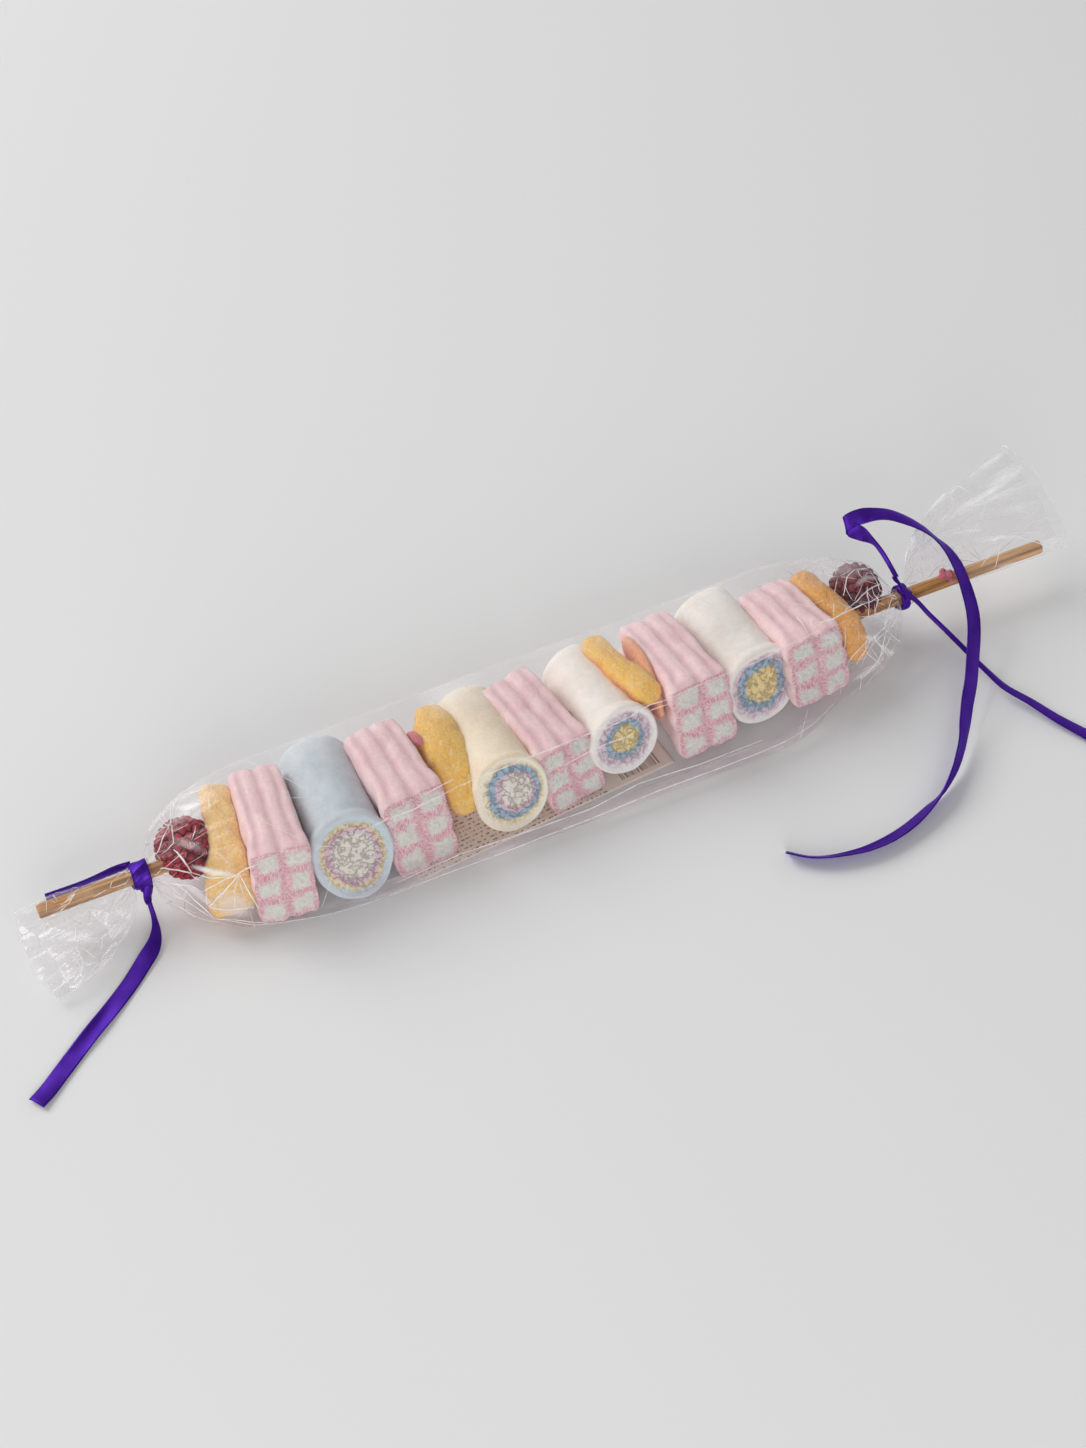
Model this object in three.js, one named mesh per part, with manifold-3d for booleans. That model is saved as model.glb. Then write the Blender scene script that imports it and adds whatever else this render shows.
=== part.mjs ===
// Marshmallow skewer: sweets threaded on a wooden stick inside a clear film bag,
// which is gathered round the stick and tied with a narrow satin ribbon at each end.
//
// Millimetres. +X runs along the stick from its left end, +Y points away from the side
// where the sweets show their ends, +Z is up. The bag lies on the plane z = 0.
// The finished group is moved so that the origin is the bottom centre of the bag and stick.

import * as THREE from 'three';
import { mergeVertices } from 'three/addons/utils/BufferGeometryUtils.js';
import Module from 'manifold-3d';

const wasm = await Module();
wasm.setup();

// ---- driving dimensions -------------------------------------------------------------

const STICK_LENGTH = 400;
const STICK_DIAMETER = 5.2;
const STICK_CHAMFER = 0.4;
const AXIS_Z = 17;
const CLEARANCE = 0.3;
const BORE_OVERRUN = 30;

const TIE_LEFT_X = 36.5;
const TIE_RIGHT_X = 338.8;
const NECK_RADIUS = 3.7;
const NECK_HALF_LENGTH = 3.4;

// Taut film tube between the ties: corners of its section at full size, and how far
// before and after each corner the rounding starts.
const SECTION = {
  nearBottom: { y: -38, z: 0, round: 6 },
  nearTop: { y: -21, z: 34, round: 12 },
  farTop: { y: 27, z: 34.5, round: 13 },
  farBottom: { y: 27, z: 0, round: 11 },
};
// Length over which each side swells from a tie to full size, at the left and right end.
const SWELL = {
  left: { near: 74, far: 46, up: 42, down: 40 },
  right: { near: 74, far: 52, up: 46, down: 40 },
};
// Breadth of the bag at the left tie and at the right tie, as a share of SECTION.
const BREADTH = { near: [0.94, 1.03], far: [0.88, 1.09] };
// The near side is drawn in past the last block: how much, and how far from the right tie.
const PINCH = { share: 0.2, from: 28, reach: 20 };

// The film dips between the five tall blocks that hold it up.
const BLOCK_X = [84, 131, 187, 243, 291];
const BLOCK_HALF_WIDTH = 11;
const DIP_DEPTH = 1.4;

// Gathers at the ties run out into folds, which start within a few millimetres.
const FOLD_COUNT = 10;
const FOLD_DEPTH = 1.2;
const FOLD_START = 8;
const FOLD_REACH = 34;

// Flared film past the ties. Each is a flattened cone round a spine that runs from
// beside the stick to the tip of the flare. alongStick and alongTip are the x of the
// mouth at the two ends of the spine, bow is how far its middle stands out, and bell is
// the power that opens the cone: the smaller it is, the nearer to the tie it is wide.
const FLARE_LEFT = {
  stickSide: { y: 0.4, z: 17, radius: 3.9 },
  tip: { y: -27, z: 2.6, radius: 1.6 },
  alongStick: -7,
  alongTip: -3,
  bow: -2.5,
  bell: 0.45,
};
const FLARE_RIGHT = {
  stickSide: { y: 1.6, z: 17.3, radius: 5.6 },
  tip: { y: 34, z: 38, radius: 1.8 },
  alongStick: 411,
  alongTip: 402,
  bow: 0,
  bell: 0.4,
};
const FLARE_FOLD_DEPTH = 1.3;
const FLARE_FOLD_AT_STICK = 0.2;
// The hollow of a flare stands off its outside by the wall, though no further than this
// share of the way to the spine, and is moved this fraction of its length past the mouth.
const FLARE_WALL = 0.8;
const HOLLOW_LIMIT = 0.45;
const HOLLOW_SHIFT = 0.03;

// Paper label under the bag, seen through the film.
const LABEL = { x: 178, y: -8, length: 106, width: 39, thickness: 0.3, turn: 5.2, lift: 0.1 };

// Satin ribbon.
const RIBBON_WIDTH = 6;
const RIBBON_THICKNESS = 0.6;
const RIBBON_PINCH = { share: 0.5, length: 9 };
const KNOT_LEFT = { bandWidth: 6, lump: { x: 1.1, y: -3.4, z: -3.4, radius: 2.3 } };
const KNOT_RIGHT = { bandWidth: 4.6, lump: { x: 0, y: 0.4, z: 4.9, radius: 2.3 } };
const BAND_THICKNESS = 0.9;
const BAND_EDGE = { radial: 0.2, axial: 0.4 };
const LUMP_STRETCH = { x: 1.1, z: 0.9 };

// Routes of the ribbon tails, from the knot outwards: x, y, z, and the lean of the ribbon's
// face in degrees, 0 where it lies flat and 90 where it stands on its edge.
const TAIL_LEFT_LONG = [
  [36.9, -6.2, 11.0, 64],
  [36.9, -8.0, 8.8, 58],
  [36.8, -10.9, 6.2, 46],
  [35.8, -14.6, 3.8, 32],
  [32.8, -19.2, 2.0, 14],
  [27.0, -24.2, 1.0, 2],
  [20.8, -29.5, 0.6, 0],
  [14.4, -34.5, 0.6, 0],
  [7.7, -39.4, 0.6, 0],
  [0.9, -44.1, 0.6, 0],
  [-5.6, -48.8, 0.6, 0],
  [-11.9, -53.6, 0.8, 0],
  [-18.3, -58.5, 1.1, 0],
  [-23.4, -61.9, 1.6, 0],
];
const TAIL_LEFT_SHORT = [
  [32.8, 5.9, 17.2, 96],
  [28.0, 5.9, 16.6, 104],
  [22.0, 5.8, 16.2, 108],
  [16.0, 5.8, 15.9, 108],
  [10.0, 6.0, 15.6, 108],
  [4.4, 6.2, 15.4, 108],
];
const TAIL_RIGHT_LOOP = [
  [337.2, 2.6, 25.4, 88],
  [337.2, 7.7, 27.0, 90],
  [337.4, 14.3, 28.0, 92],
  [336.8, 20.6, 28.8, 92],
  [334.5, 25.5, 29.4, 90],
  [331.8, 28.6, 30.0, 80],
  [330.2, 29.9, 31.4, 62],
  [331.4, 30.0, 32.8, 110],
  [335.6, 29.8, 33.6, 164],
  [341.7, 28.6, 33.8, 174],
  [347.2, 26.2, 33.6, 176],
  [351.5, 21.8, 33.2, 188],
  [355.1, 16.4, 32.4, 206],
  [357.7, 10.5, 31.2, 216],
  [359.7, 4.9, 29.6, 216],
  [360.5, -1.4, 27.2, 216],
  [360.3, -7.2, 24.4, 212],
  [359.4, -13.5, 21.2, 206],
  [358.0, -19.4, 18.0, 200],
  [355.6, -25.2, 15.2, 200],
  [352.0, -31.4, 12.6, 202],
  [345.2, -41.8, 9.6, 216],
  [339.7, -48.7, 8.0, 226],
  [334.6, -55.8, 6.8, 234],
  [329.2, -62.9, 5.8, 242],
  [323.3, -68.9, 5.0, 250],
  [318.8, -72.9, 4.4, 260],
  [311.9, -78.3, 3.7, 280],
  [306.5, -81.0, 3.4, 304],
  [299.2, -84.3, 3.0, 318],
  [291.9, -86.7, 2.7, 324],
  [284.3, -88.4, 2.5, 326],
  [277.4, -89.0, 2.5, 324],
  [271.1, -88.6, 2.5, 320],
  [262.6, -86.7, 2.6, 314],
  [254.7, -83.1, 2.6, 312],
  [248.0, -77.6, 2.6, 312],
];
const TAIL_RIGHT_STRAIGHT = [
  [339.2, -3.9, 22.4, 18],
  [342.2, -6.6, 19.4, 18],
  [345.4, -10.4, 15.0, 20],
  [349.4, -16.6, 10.5, 22],
  [352.2, -25.1, 8.0, 22],
  [355.1, -37.4, 6.0, 22],
  [357.6, -46.9, 4.8, 18],
  [363.1, -56.5, 3.6, 16],
  [367.8, -65.9, 2.6, 14],
  [373.7, -75.9, 1.7, 10],
  [378.2, -83.6, 1.1, 4],
  [382.4, -90.6, 0.7, 0],
];

// ---- resolution -----------------------------------------------------------------------

const AROUND = 40;
const BODY_STATIONS = 44;
const FLARE_STATIONS = 9;
const OUTLINE_SAMPLES = 480;
const STICK_SIDES = 24;
const BAND_SIDES = 28;
const LUMP_SIDES = { around: 14, down: 10 };
const TAIL_STEP = 3.6;
const MERGE_DISTANCE = 1e-4;
const TINY = 1e-6;
// Share by which the stations of the bag crowd towards its two ends.
const CROWDING = 0.62;

// ---- colours from the photograph --------------------------------------------------------

const WOOD = new THREE.MeshStandardMaterial({ color: 0xc79a5e, roughness: 0.6, metalness: 0 });
const FILM = new THREE.MeshStandardMaterial({ color: 0xe9e4e6, roughness: 0.08, metalness: 0 });
const PAPER = new THREE.MeshStandardMaterial({ color: 0xcdbfae, roughness: 0.8, metalness: 0 });
const SATIN = new THREE.MeshStandardMaterial({ color: 0x4a1c96, roughness: 0.35, metalness: 0 });

// ---- solids ---------------------------------------------------------------------------

function mix(a, b, t) {
  return a + (b - a) * t;
}

function toManifold(geometry) {
  const bare = geometry.clone();
  bare.deleteAttribute('normal');
  bare.deleteAttribute('uv');
  const merged = mergeVertices(bare, MERGE_DISTANCE);
  const vertProperties = Float32Array.from(merged.attributes.position.array);
  const triVerts = Uint32Array.from(merged.index.array);
  return new wasm.Manifold(new wasm.Mesh({ numProp: 3, vertProperties, triVerts }));
}

function toGeometry(solid) {
  const mesh = solid.getMesh();
  const geometry = new THREE.BufferGeometry();
  geometry.setAttribute('position', new THREE.BufferAttribute(mesh.vertProperties, 3));
  geometry.setIndex(new THREE.BufferAttribute(mesh.triVerts, 1));
  geometry.computeVertexNormals();
  return geometry;
}

// Closed body through rings of equally many points, capped at both ends.
// The rings run anticlockwise seen against the direction from the first to the last.
function loft(rings) {
  const count = rings[0].length;
  const points = rings.flat();
  const index = [];
  for (let i = 0; i < rings.length - 1; i += 1) {
    for (let j = 0; j < count; j += 1) {
      const a = i * count + j;
      const b = i * count + ((j + 1) % count);
      index.push(a, b, b + count, a, b + count, a + count);
    }
  }
  const centreOf = (ring) => ring.reduce((sum, p) => sum.add(p), new THREE.Vector3()).divideScalar(count);
  const first = points.push(centreOf(rings[0])) - 1;
  const last = points.push(centreOf(rings[rings.length - 1])) - 1;
  const lastStart = (rings.length - 1) * count;
  for (let j = 0; j < count; j += 1) {
    const next = (j + 1) % count;
    index.push(first, next, j);
    index.push(last, lastStart + j, lastStart + next);
  }
  const geometry = new THREE.BufferGeometry().setFromPoints(points);
  geometry.setIndex(index);
  geometry.computeVertexNormals();
  return geometry;
}

// Evenly spaced points on a closed outline in the YZ plane, anticlockwise from the point
// that lies level with the stick's axis on the far side.
function spacedFromFarSide(shape) {
  const dense = shape.getSpacedPoints(OUTLINE_SAMPLES).slice(0, OUTLINE_SAMPLES);
  const angle = (p) => Math.abs(Math.atan2(p.y - AXIS_Z, p.x));
  const start = dense.reduce((best, p, i) => (angle(p) < angle(dense[best]) ? i : best), 0);
  const stride = OUTLINE_SAMPLES / AROUND;
  return Array.from({ length: AROUND }, (_, j) => dense[(start + j * stride) % OUTLINE_SAMPLES]);
}

// ---- film bag -----------------------------------------------------------------------------

function sectionShape() {
  const corners = [SECTION.farBottom, SECTION.farTop, SECTION.nearTop, SECTION.nearBottom];
  const shape = new THREE.Shape();
  corners.forEach((corner, i) => {
    const here = new THREE.Vector2(corner.y, corner.z);
    const toward = (other) => {
      const point = new THREE.Vector2(other.y, other.z);
      return point.sub(here).setLength(corner.round).add(here);
    };
    const start = toward(corners[(i + corners.length - 1) % corners.length]);
    const end = toward(corners[(i + 1) % corners.length]);
    if (i === 0) {
      shape.moveTo(start.x, start.y);
    } else {
      shape.lineTo(start.x, start.y);
    }
    shape.quadraticCurveTo(here.x, here.y, end.x, end.y);
  });
  shape.closePath();
  return shape;
}

// Outline of a flattened flare's mouth: two arcs round the ends of its spine.
function mouthShape({ stickSide, tip }) {
  const run = new THREE.Vector2(tip.y - stickSide.y, tip.z - stickSide.z);
  const heading = run.angle();
  const spread = Math.acos((stickSide.radius - tip.radius) / run.length());
  const shape = new THREE.Shape();
  shape.absarc(tip.y, tip.z, tip.radius, heading - spread, heading + spread, false);
  shape.absarc(stickSide.y, stickSide.z, stickSide.radius, heading + spread, heading - spread, false);
  shape.closePath();
  return shape;
}

const neckRing = Array.from({ length: AROUND }, (_, j) => {
  const angle = (2 * Math.PI * j) / AROUND;
  return new THREE.Vector2(NECK_RADIUS * Math.cos(angle), AXIS_Z + NECK_RADIUS * Math.sin(angle));
});
const fullSection = spacedFromFarSide(sectionShape());
const fold = Array.from({ length: AROUND }, (_, j) => Math.cos((2 * Math.PI * FOLD_COUNT * j) / AROUND));

// Quarter-ellipse rise from 0 at a tie to 1 at the given length.
function rise(distance, length) {
  const left = 1 - Math.min(Math.max(distance / length, 0), 1);
  return Math.sqrt(1 - left * left);
}

function dipAt(x) {
  const gap = Math.min(...BLOCK_X.map((block) => Math.abs(x - block)));
  const beyond = Math.max(gap - BLOCK_HALF_WIDTH, 0);
  return DIP_DEPTH * (1 - Math.exp(-((beyond / BLOCK_HALF_WIDTH) ** 2)));
}

function bodyRing(x) {
  const fromLeft = x - (TIE_LEFT_X + NECK_HALF_LENGTH);
  const fromRight = TIE_RIGHT_X - NECK_HALF_LENGTH - x;
  const swell = (side) => Math.min(rise(fromLeft, SWELL.left[side]), rise(fromRight, SWELL.right[side]));
  const scale = { near: swell('near'), far: swell('far'), up: swell('up'), down: swell('down') };
  const along = fromLeft / (fromLeft + fromRight);
  const pinch = 1 - PINCH.share * Math.exp(-(((fromRight - PINCH.from) / PINCH.reach) ** 2));
  const breadth = { near: mix(...BREADTH.near, along) * pinch, far: mix(...BREADTH.far, along) };
  const fromTie = Math.min(fromLeft, fromRight);
  const foldDepth = FOLD_DEPTH * rise(fromTie, FOLD_START) * Math.exp(-((fromTie / FOLD_REACH) ** 2));
  return fullSection.map((full, j) => {
    const neck = neckRing[j];
    const side = full.x < 0 ? 'near' : 'far';
    const y = mix(neck.x, full.x * breadth[side], scale[side]);
    const above = full.y > AXIS_Z;
    const level = full.y - (above ? dipAt(x) * Math.min((full.y - AXIS_Z) / AXIS_Z, 1) : 0);
    const z = mix(neck.y, level, above ? scale.up : scale.down);
    const outward = new THREE.Vector2(y, z - AXIS_Z).setLength(foldDepth * fold[j]);
    return new THREE.Vector3(x, y + outward.x, Math.max(z + outward.y, 0));
  });
}

// One ring of a flare at the fraction s of the way from the tie to the mouth. The inset
// moves it towards the spine by the thickness of the film wall.
function flareRing(flare, tieX, s, inset) {
  const outline = spacedFromFarSide(mouthShape(flare));
  const opening = Math.min(s, 1) ** flare.bell;
  const spine = (end) => new THREE.Vector2(mix(0, end.y, opening), mix(AXIS_Z, end.z, opening));
  const root = spine(flare.stickSide);
  const run = spine(flare.tip).sub(root);
  return outline.map((mouth, j) => {
    const point = neckRing[j].clone().lerp(mouth, opening);
    const reach = point.clone().sub(root).dot(run) / Math.max(run.lengthSq(), TINY);
    const along = Math.min(Math.max(reach, 0), 1);
    const outward = point.clone().sub(run.clone().multiplyScalar(along).add(root));
    const distance = outward.length();
    const depth = FLARE_FOLD_DEPTH * s * mix(FLARE_FOLD_AT_STICK, 1, along) * fold[j];
    const shift = depth - Math.min(inset, HOLLOW_LIMIT * distance);
    point.add(outward.multiplyScalar(shift / distance));
    const square = mix(flare.alongStick, flare.alongTip, along * along);
    const mouthX = square + flare.bow * Math.sin(Math.PI * along);
    return new THREE.Vector3(mix(tieX, mouthX, s), point.x, Math.max(point.y, inset));
  });
}

function flareRings(flare, tieX, fromFraction, toFraction, inset) {
  return Array.from({ length: FLARE_STATIONS }, (_, i) => {
    const s = mix(fromFraction, toFraction, i / (FLARE_STATIONS - 1));
    return flareRing(flare, tieX, s, inset);
  });
}

function bodyRings() {
  const start = TIE_LEFT_X + NECK_HALF_LENGTH;
  const end = TIE_RIGHT_X - NECK_HALF_LENGTH;
  return Array.from({ length: BODY_STATIONS }, (_, i) => {
    const even = i / (BODY_STATIONS - 1);
    const eased = 0.5 - 0.5 * Math.cos(Math.PI * even);
    return bodyRing(mix(start, end, mix(even, eased, CROWDING)));
  });
}

function stickBore() {
  const bore = new THREE.CylinderGeometry(
    STICK_DIAMETER / 2 + CLEARANCE,
    STICK_DIAMETER / 2 + CLEARANCE,
    STICK_LENGTH + 2 * BORE_OVERRUN,
    STICK_SIDES,
  );
  bore.rotateZ(Math.PI / 2);
  bore.translate(STICK_LENGTH / 2, 0, AXIS_Z);
  return bore;
}

function labelBox(margin, height) {
  const box = new THREE.BoxGeometry(LABEL.length + 2 * margin, LABEL.width + 2 * margin, height);
  box.rotateZ(THREE.MathUtils.degToRad(LABEL.turn));
  return box;
}

function filmBag() {
  const leftNeck = TIE_LEFT_X - NECK_HALF_LENGTH;
  const rightNeck = TIE_RIGHT_X + NECK_HALF_LENGTH;
  const rings = [
    ...flareRings(FLARE_LEFT, leftNeck, 1, 0, 0),
    ...bodyRings(),
    ...flareRings(FLARE_RIGHT, rightNeck, 0, 1, 0),
  ];
  const leftHollow = flareRings(FLARE_LEFT, leftNeck, 1 + HOLLOW_SHIFT, HOLLOW_SHIFT, FLARE_WALL);
  const rightHollow = flareRings(FLARE_RIGHT, rightNeck, HOLLOW_SHIFT, 1 + HOLLOW_SHIFT, FLARE_WALL);
  const labelDepth = LABEL.lift + LABEL.thickness + CLEARANCE;
  const recess = labelBox(CLEARANCE, 2 * labelDepth);
  recess.translate(LABEL.x, LABEL.y, 0);
  const solid = toManifold(loft(rings))
    .subtract(toManifold(loft(leftHollow)))
    .subtract(toManifold(loft(rightHollow)))
    .subtract(toManifold(stickBore()))
    .subtract(toManifold(recess));
  const pieces = solid.decompose().sort((a, b) => b.volume() - a.volume());
  return toGeometry(pieces[0]);
}

// ---- stick, label and ribbon ----------------------------------------------------------------

function stick() {
  const radius = STICK_DIAMETER / 2;
  const profile = [
    new THREE.Vector2(0, 0),
    new THREE.Vector2(radius - STICK_CHAMFER, 0),
    new THREE.Vector2(radius, STICK_CHAMFER),
    new THREE.Vector2(radius, STICK_LENGTH - STICK_CHAMFER),
    new THREE.Vector2(radius - STICK_CHAMFER, STICK_LENGTH),
    new THREE.Vector2(0, STICK_LENGTH),
  ];
  const rod = new THREE.LatheGeometry(profile, STICK_SIDES);
  rod.rotateZ(-Math.PI / 2);
  return rod;
}

function label() {
  const sheet = labelBox(0, LABEL.thickness);
  sheet.translate(0, 0, LABEL.thickness / 2 + LABEL.lift);
  return sheet;
}

// Ribbon band round a neck, with the lump of its knot.
function knot({ bandWidth, lump }) {
  const inner = NECK_RADIUS + CLEARANCE;
  const outer = inner + BAND_THICKNESS;
  const half = bandWidth / 2;
  const profile = [
    new THREE.Vector2(inner, -half),
    new THREE.Vector2(outer - BAND_EDGE.radial, -half),
    new THREE.Vector2(outer, -half + BAND_EDGE.axial),
    new THREE.Vector2(outer, half - BAND_EDGE.axial),
    new THREE.Vector2(outer - BAND_EDGE.radial, half),
    new THREE.Vector2(inner, half),
    new THREE.Vector2(inner, -half),
  ];
  const band = new THREE.LatheGeometry(profile, BAND_SIDES);
  band.rotateZ(-Math.PI / 2);
  const ball = new THREE.SphereGeometry(lump.radius, LUMP_SIDES.around, LUMP_SIDES.down);
  ball.scale(LUMP_STRETCH.x, 1, LUMP_STRETCH.z);
  ball.translate(lump.x, lump.y, lump.z);
  const hole = new THREE.CylinderGeometry(inner, inner, 3 * bandWidth, BAND_SIDES);
  hole.rotateZ(Math.PI / 2);
  return toGeometry(toManifold(band).add(toManifold(ball)).subtract(toManifold(hole)));
}

// Flat ribbon along a route, turned about it by the leans given with the points and
// drawn together where it leaves the knot.
function tail(route) {
  const curve = new THREE.CatmullRomCurve3(route.map(([x, y, z]) => new THREE.Vector3(x, y, z)));
  const steps = Math.round(curve.getLength() / TAIL_STEP);
  const rings = [];
  for (let i = 0; i <= steps; i += 1) {
    const t = curve.getUtoTmapping(i / steps);
    const centre = curve.getPoint(t);
    const tangent = curve.getTangent(t);
    const place = t * (route.length - 1);
    const before = Math.min(Math.floor(place), route.length - 2);
    const lean = THREE.MathUtils.degToRad(mix(route[before][3], route[before + 1][3], place - before));
    const level = new THREE.Vector3(tangent.y, -tangent.x, 0).normalize();
    const upright = new THREE.Vector3().crossVectors(level, tangent).normalize();
    const across = level.clone().multiplyScalar(Math.cos(lean)).addScaledVector(upright, Math.sin(lean));
    const normal = new THREE.Vector3().crossVectors(tangent, across).normalize();
    const spread = Math.min((curve.getLength() * i) / steps / RIBBON_PINCH.length, 1);
    const halfWidth = (RIBBON_WIDTH / 2) * mix(RIBBON_PINCH.share, 1, spread);
    const corner = (side, face) => centre.clone()
      .addScaledVector(across, side * halfWidth)
      .addScaledVector(normal, (face * RIBBON_THICKNESS) / 2);
    rings.push([corner(1, 1), corner(-1, 1), corner(-1, -1), corner(1, -1)]);
  }
  return loft(rings);
}

// ---- assembly -------------------------------------------------------------------------------

function named(name, geometry, material, x = 0, y = 0, z = 0) {
  const mesh = new THREE.Mesh(geometry, material);
  mesh.name = name;
  mesh.position.set(x, y, z);
  return mesh;
}

const skewer = new THREE.Group();
skewer.add(named('stick', stick(), WOOD, 0, 0, AXIS_Z));
skewer.add(named('film_bag', filmBag(), FILM));
skewer.add(named('label', label(), PAPER, LABEL.x, LABEL.y, 0));
skewer.add(named('knot_left', knot(KNOT_LEFT), SATIN, TIE_LEFT_X, 0, AXIS_Z));
skewer.add(named('knot_right', knot(KNOT_RIGHT), SATIN, TIE_RIGHT_X, 0, AXIS_Z));

// The bottom centre of everything but the loose ribbon tails becomes the origin.
skewer.updateMatrixWorld(true);
const box = new THREE.Box3().setFromObject(skewer, true);
const centre = box.getCenter(new THREE.Vector3());

skewer.add(named('ribbon_left_long', tail(TAIL_LEFT_LONG), SATIN));
skewer.add(named('ribbon_left_short', tail(TAIL_LEFT_SHORT), SATIN));
skewer.add(named('ribbon_right_loop', tail(TAIL_RIGHT_LOOP), SATIN));
skewer.add(named('ribbon_right_straight', tail(TAIL_RIGHT_STRAIGHT), SATIN));

const part = new THREE.Group();
skewer.position.set(-centre.x, -centre.y, -box.min.z);
part.add(skewer);

export default part;
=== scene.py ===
"""Marshmallow skewer in a clear film bag: sweets threaded on a wooden stick, the bag gathered
and tied with narrow satin ribbon at both ends.

Shapes are worked out in millimetres in the skewer's own frame: x runs along the stick from
its left end, y points away from the side where the sweets show their ends, z is up, and the
stick's axis lies at y = 0, z = AXIS_Z. place() turns such points into the frame's metres.
"""

import math

import bpy
import numpy as np
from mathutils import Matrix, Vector, bvhtree, kdtree, noise
from mathutils.geometry import delaunay_2d_cdt


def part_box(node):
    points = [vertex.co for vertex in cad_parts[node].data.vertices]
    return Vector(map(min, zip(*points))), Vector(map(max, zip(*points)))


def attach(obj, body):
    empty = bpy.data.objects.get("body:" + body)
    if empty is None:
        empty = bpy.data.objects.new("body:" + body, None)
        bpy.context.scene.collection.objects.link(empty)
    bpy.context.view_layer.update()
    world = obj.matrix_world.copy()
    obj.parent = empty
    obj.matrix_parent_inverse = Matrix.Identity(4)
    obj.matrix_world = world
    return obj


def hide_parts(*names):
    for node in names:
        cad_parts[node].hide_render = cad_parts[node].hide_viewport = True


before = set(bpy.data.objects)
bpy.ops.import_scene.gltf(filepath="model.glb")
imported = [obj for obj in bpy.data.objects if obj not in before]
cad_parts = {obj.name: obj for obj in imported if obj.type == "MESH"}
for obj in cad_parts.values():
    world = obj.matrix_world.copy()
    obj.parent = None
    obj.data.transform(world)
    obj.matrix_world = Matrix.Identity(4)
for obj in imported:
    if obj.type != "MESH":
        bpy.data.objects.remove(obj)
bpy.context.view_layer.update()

STICK_LOW, STICK_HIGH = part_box("stick")
AXIS_Z = (STICK_LOW.z + STICK_HIGH.z) / 2 * 1000
STICK_LENGTH = (STICK_HIGH.x - STICK_LOW.x) * 1000
ORIGIN = np.array([STICK_LOW.x, (STICK_LOW.y + STICK_HIGH.y) / 2, 0.0])
BODY = "root"


def place(points):
    """Points in millimetres in the skewer's frame, in metres in the row frame."""
    return np.asarray(points, float) / 1000 + ORIGIN


# ---- camera ---------------------------------------------------------------------------------

CAMERA_AZIMUTH = math.radians(-25.44)
CAMERA_ELEVATION = math.radians(50.0)
CAMERA_DISTANCE = 936.4
CAMERA_TARGET = (190.69, 1.53, 17.0)
FOCAL_PIXELS = 2600
PHOTO_LONG_SIDE = 1448
SENSOR = 36.0


def make_camera():
    back = np.array([
        math.sin(CAMERA_AZIMUTH) * math.cos(CAMERA_ELEVATION),
        -math.cos(CAMERA_AZIMUTH) * math.cos(CAMERA_ELEVATION),
        math.sin(CAMERA_ELEVATION),
    ])
    data = bpy.data.cameras.new("camera")
    data.sensor_width = SENSOR
    data.lens = FOCAL_PIXELS / PHOTO_LONG_SIDE * SENSOR
    camera = bpy.data.objects.new("camera", data)
    bpy.context.scene.collection.objects.link(camera)
    camera.location = place(np.array(CAMERA_TARGET) + CAMERA_DISTANCE * back)
    camera.rotation_mode = "QUATERNION"
    camera.rotation_quaternion = Vector(-back).to_track_quat("-Z", "Y")
    bpy.context.scene.camera = camera


make_camera()

# ---- meshes ---------------------------------------------------------------------------------

# Points and faces of the sweets, over which the film is drawn.
CONTENTS = {"points": [], "faces": [], "count": 0}


def keep_contents(points, faces):
    CONTENTS["faces"] += [tuple(int(i) + CONTENTS["count"] for i in face) for face in faces]
    CONTENTS["points"].append(np.asarray(points, float))
    CONTENTS["count"] += len(points)


def facing_out(points, faces):
    """The faces of a closed piece, turned over if they face inwards."""
    points = np.asarray(points, float)
    corners = np.array([(f[0], f[k], f[k + 1]) for f in faces for k in range(1, len(f) - 1)], int)
    a, b, c = points[corners[:, 0]], points[corners[:, 1]], points[corners[:, 2]]
    if np.einsum("ij,ij->i", a, np.cross(b, c)).sum() > 0:
        return faces
    return [tuple(face)[::-1] for face in faces]


def make_piece(name, points, faces, materials, slot, replaces=(), face_material=None, uv=None, smooth=True):
    """A mesh piece that rides on the body. points are millimetres in the skewer's frame."""
    if slot not in ("clear_film", "paper"):
        faces = facing_out(points, faces)
    mesh = bpy.data.meshes.new(name)
    mesh.from_pydata([tuple(p) for p in place(points)], [], [tuple(int(i) for i in f) for f in faces])
    for material in materials:
        mesh.materials.append(material)
    if face_material is not None:
        mesh.polygons.foreach_set("material_index", np.asarray(face_material, np.int32))
    mesh.polygons.foreach_set("use_smooth", np.full(len(mesh.polygons), smooth))
    if uv is not None:
        layer = mesh.uv_layers.new(name="UVMap")
        corner = np.empty(len(mesh.loops), np.int32)
        mesh.loops.foreach_get("vertex_index", corner)
        layer.data.foreach_set("uv", np.asarray(uv, float)[corner].ravel())
    mesh.update()
    piece = bpy.data.objects.new(name, mesh)
    bpy.context.scene.collection.objects.link(piece)
    if replaces:
        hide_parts(*replaces)
    if slot.startswith(("marshmallow", "jelly")):
        keep_contents(points, faces)
    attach(piece, BODY)
    return piece


def unit(vectors):
    """The vectors, each at length 1."""
    return vectors / np.maximum(np.linalg.norm(vectors, axis=-1, keepdims=True), 1e-9)


def run_along(points):
    """Length of the line through the points, up to each of them."""
    return np.concatenate([[0], np.cumsum(np.linalg.norm(np.diff(points, axis=0), axis=1))])


def circle(count):
    """Even angles all the way round."""
    return np.linspace(0, 2 * math.pi, count, endpoint=False)


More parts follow.
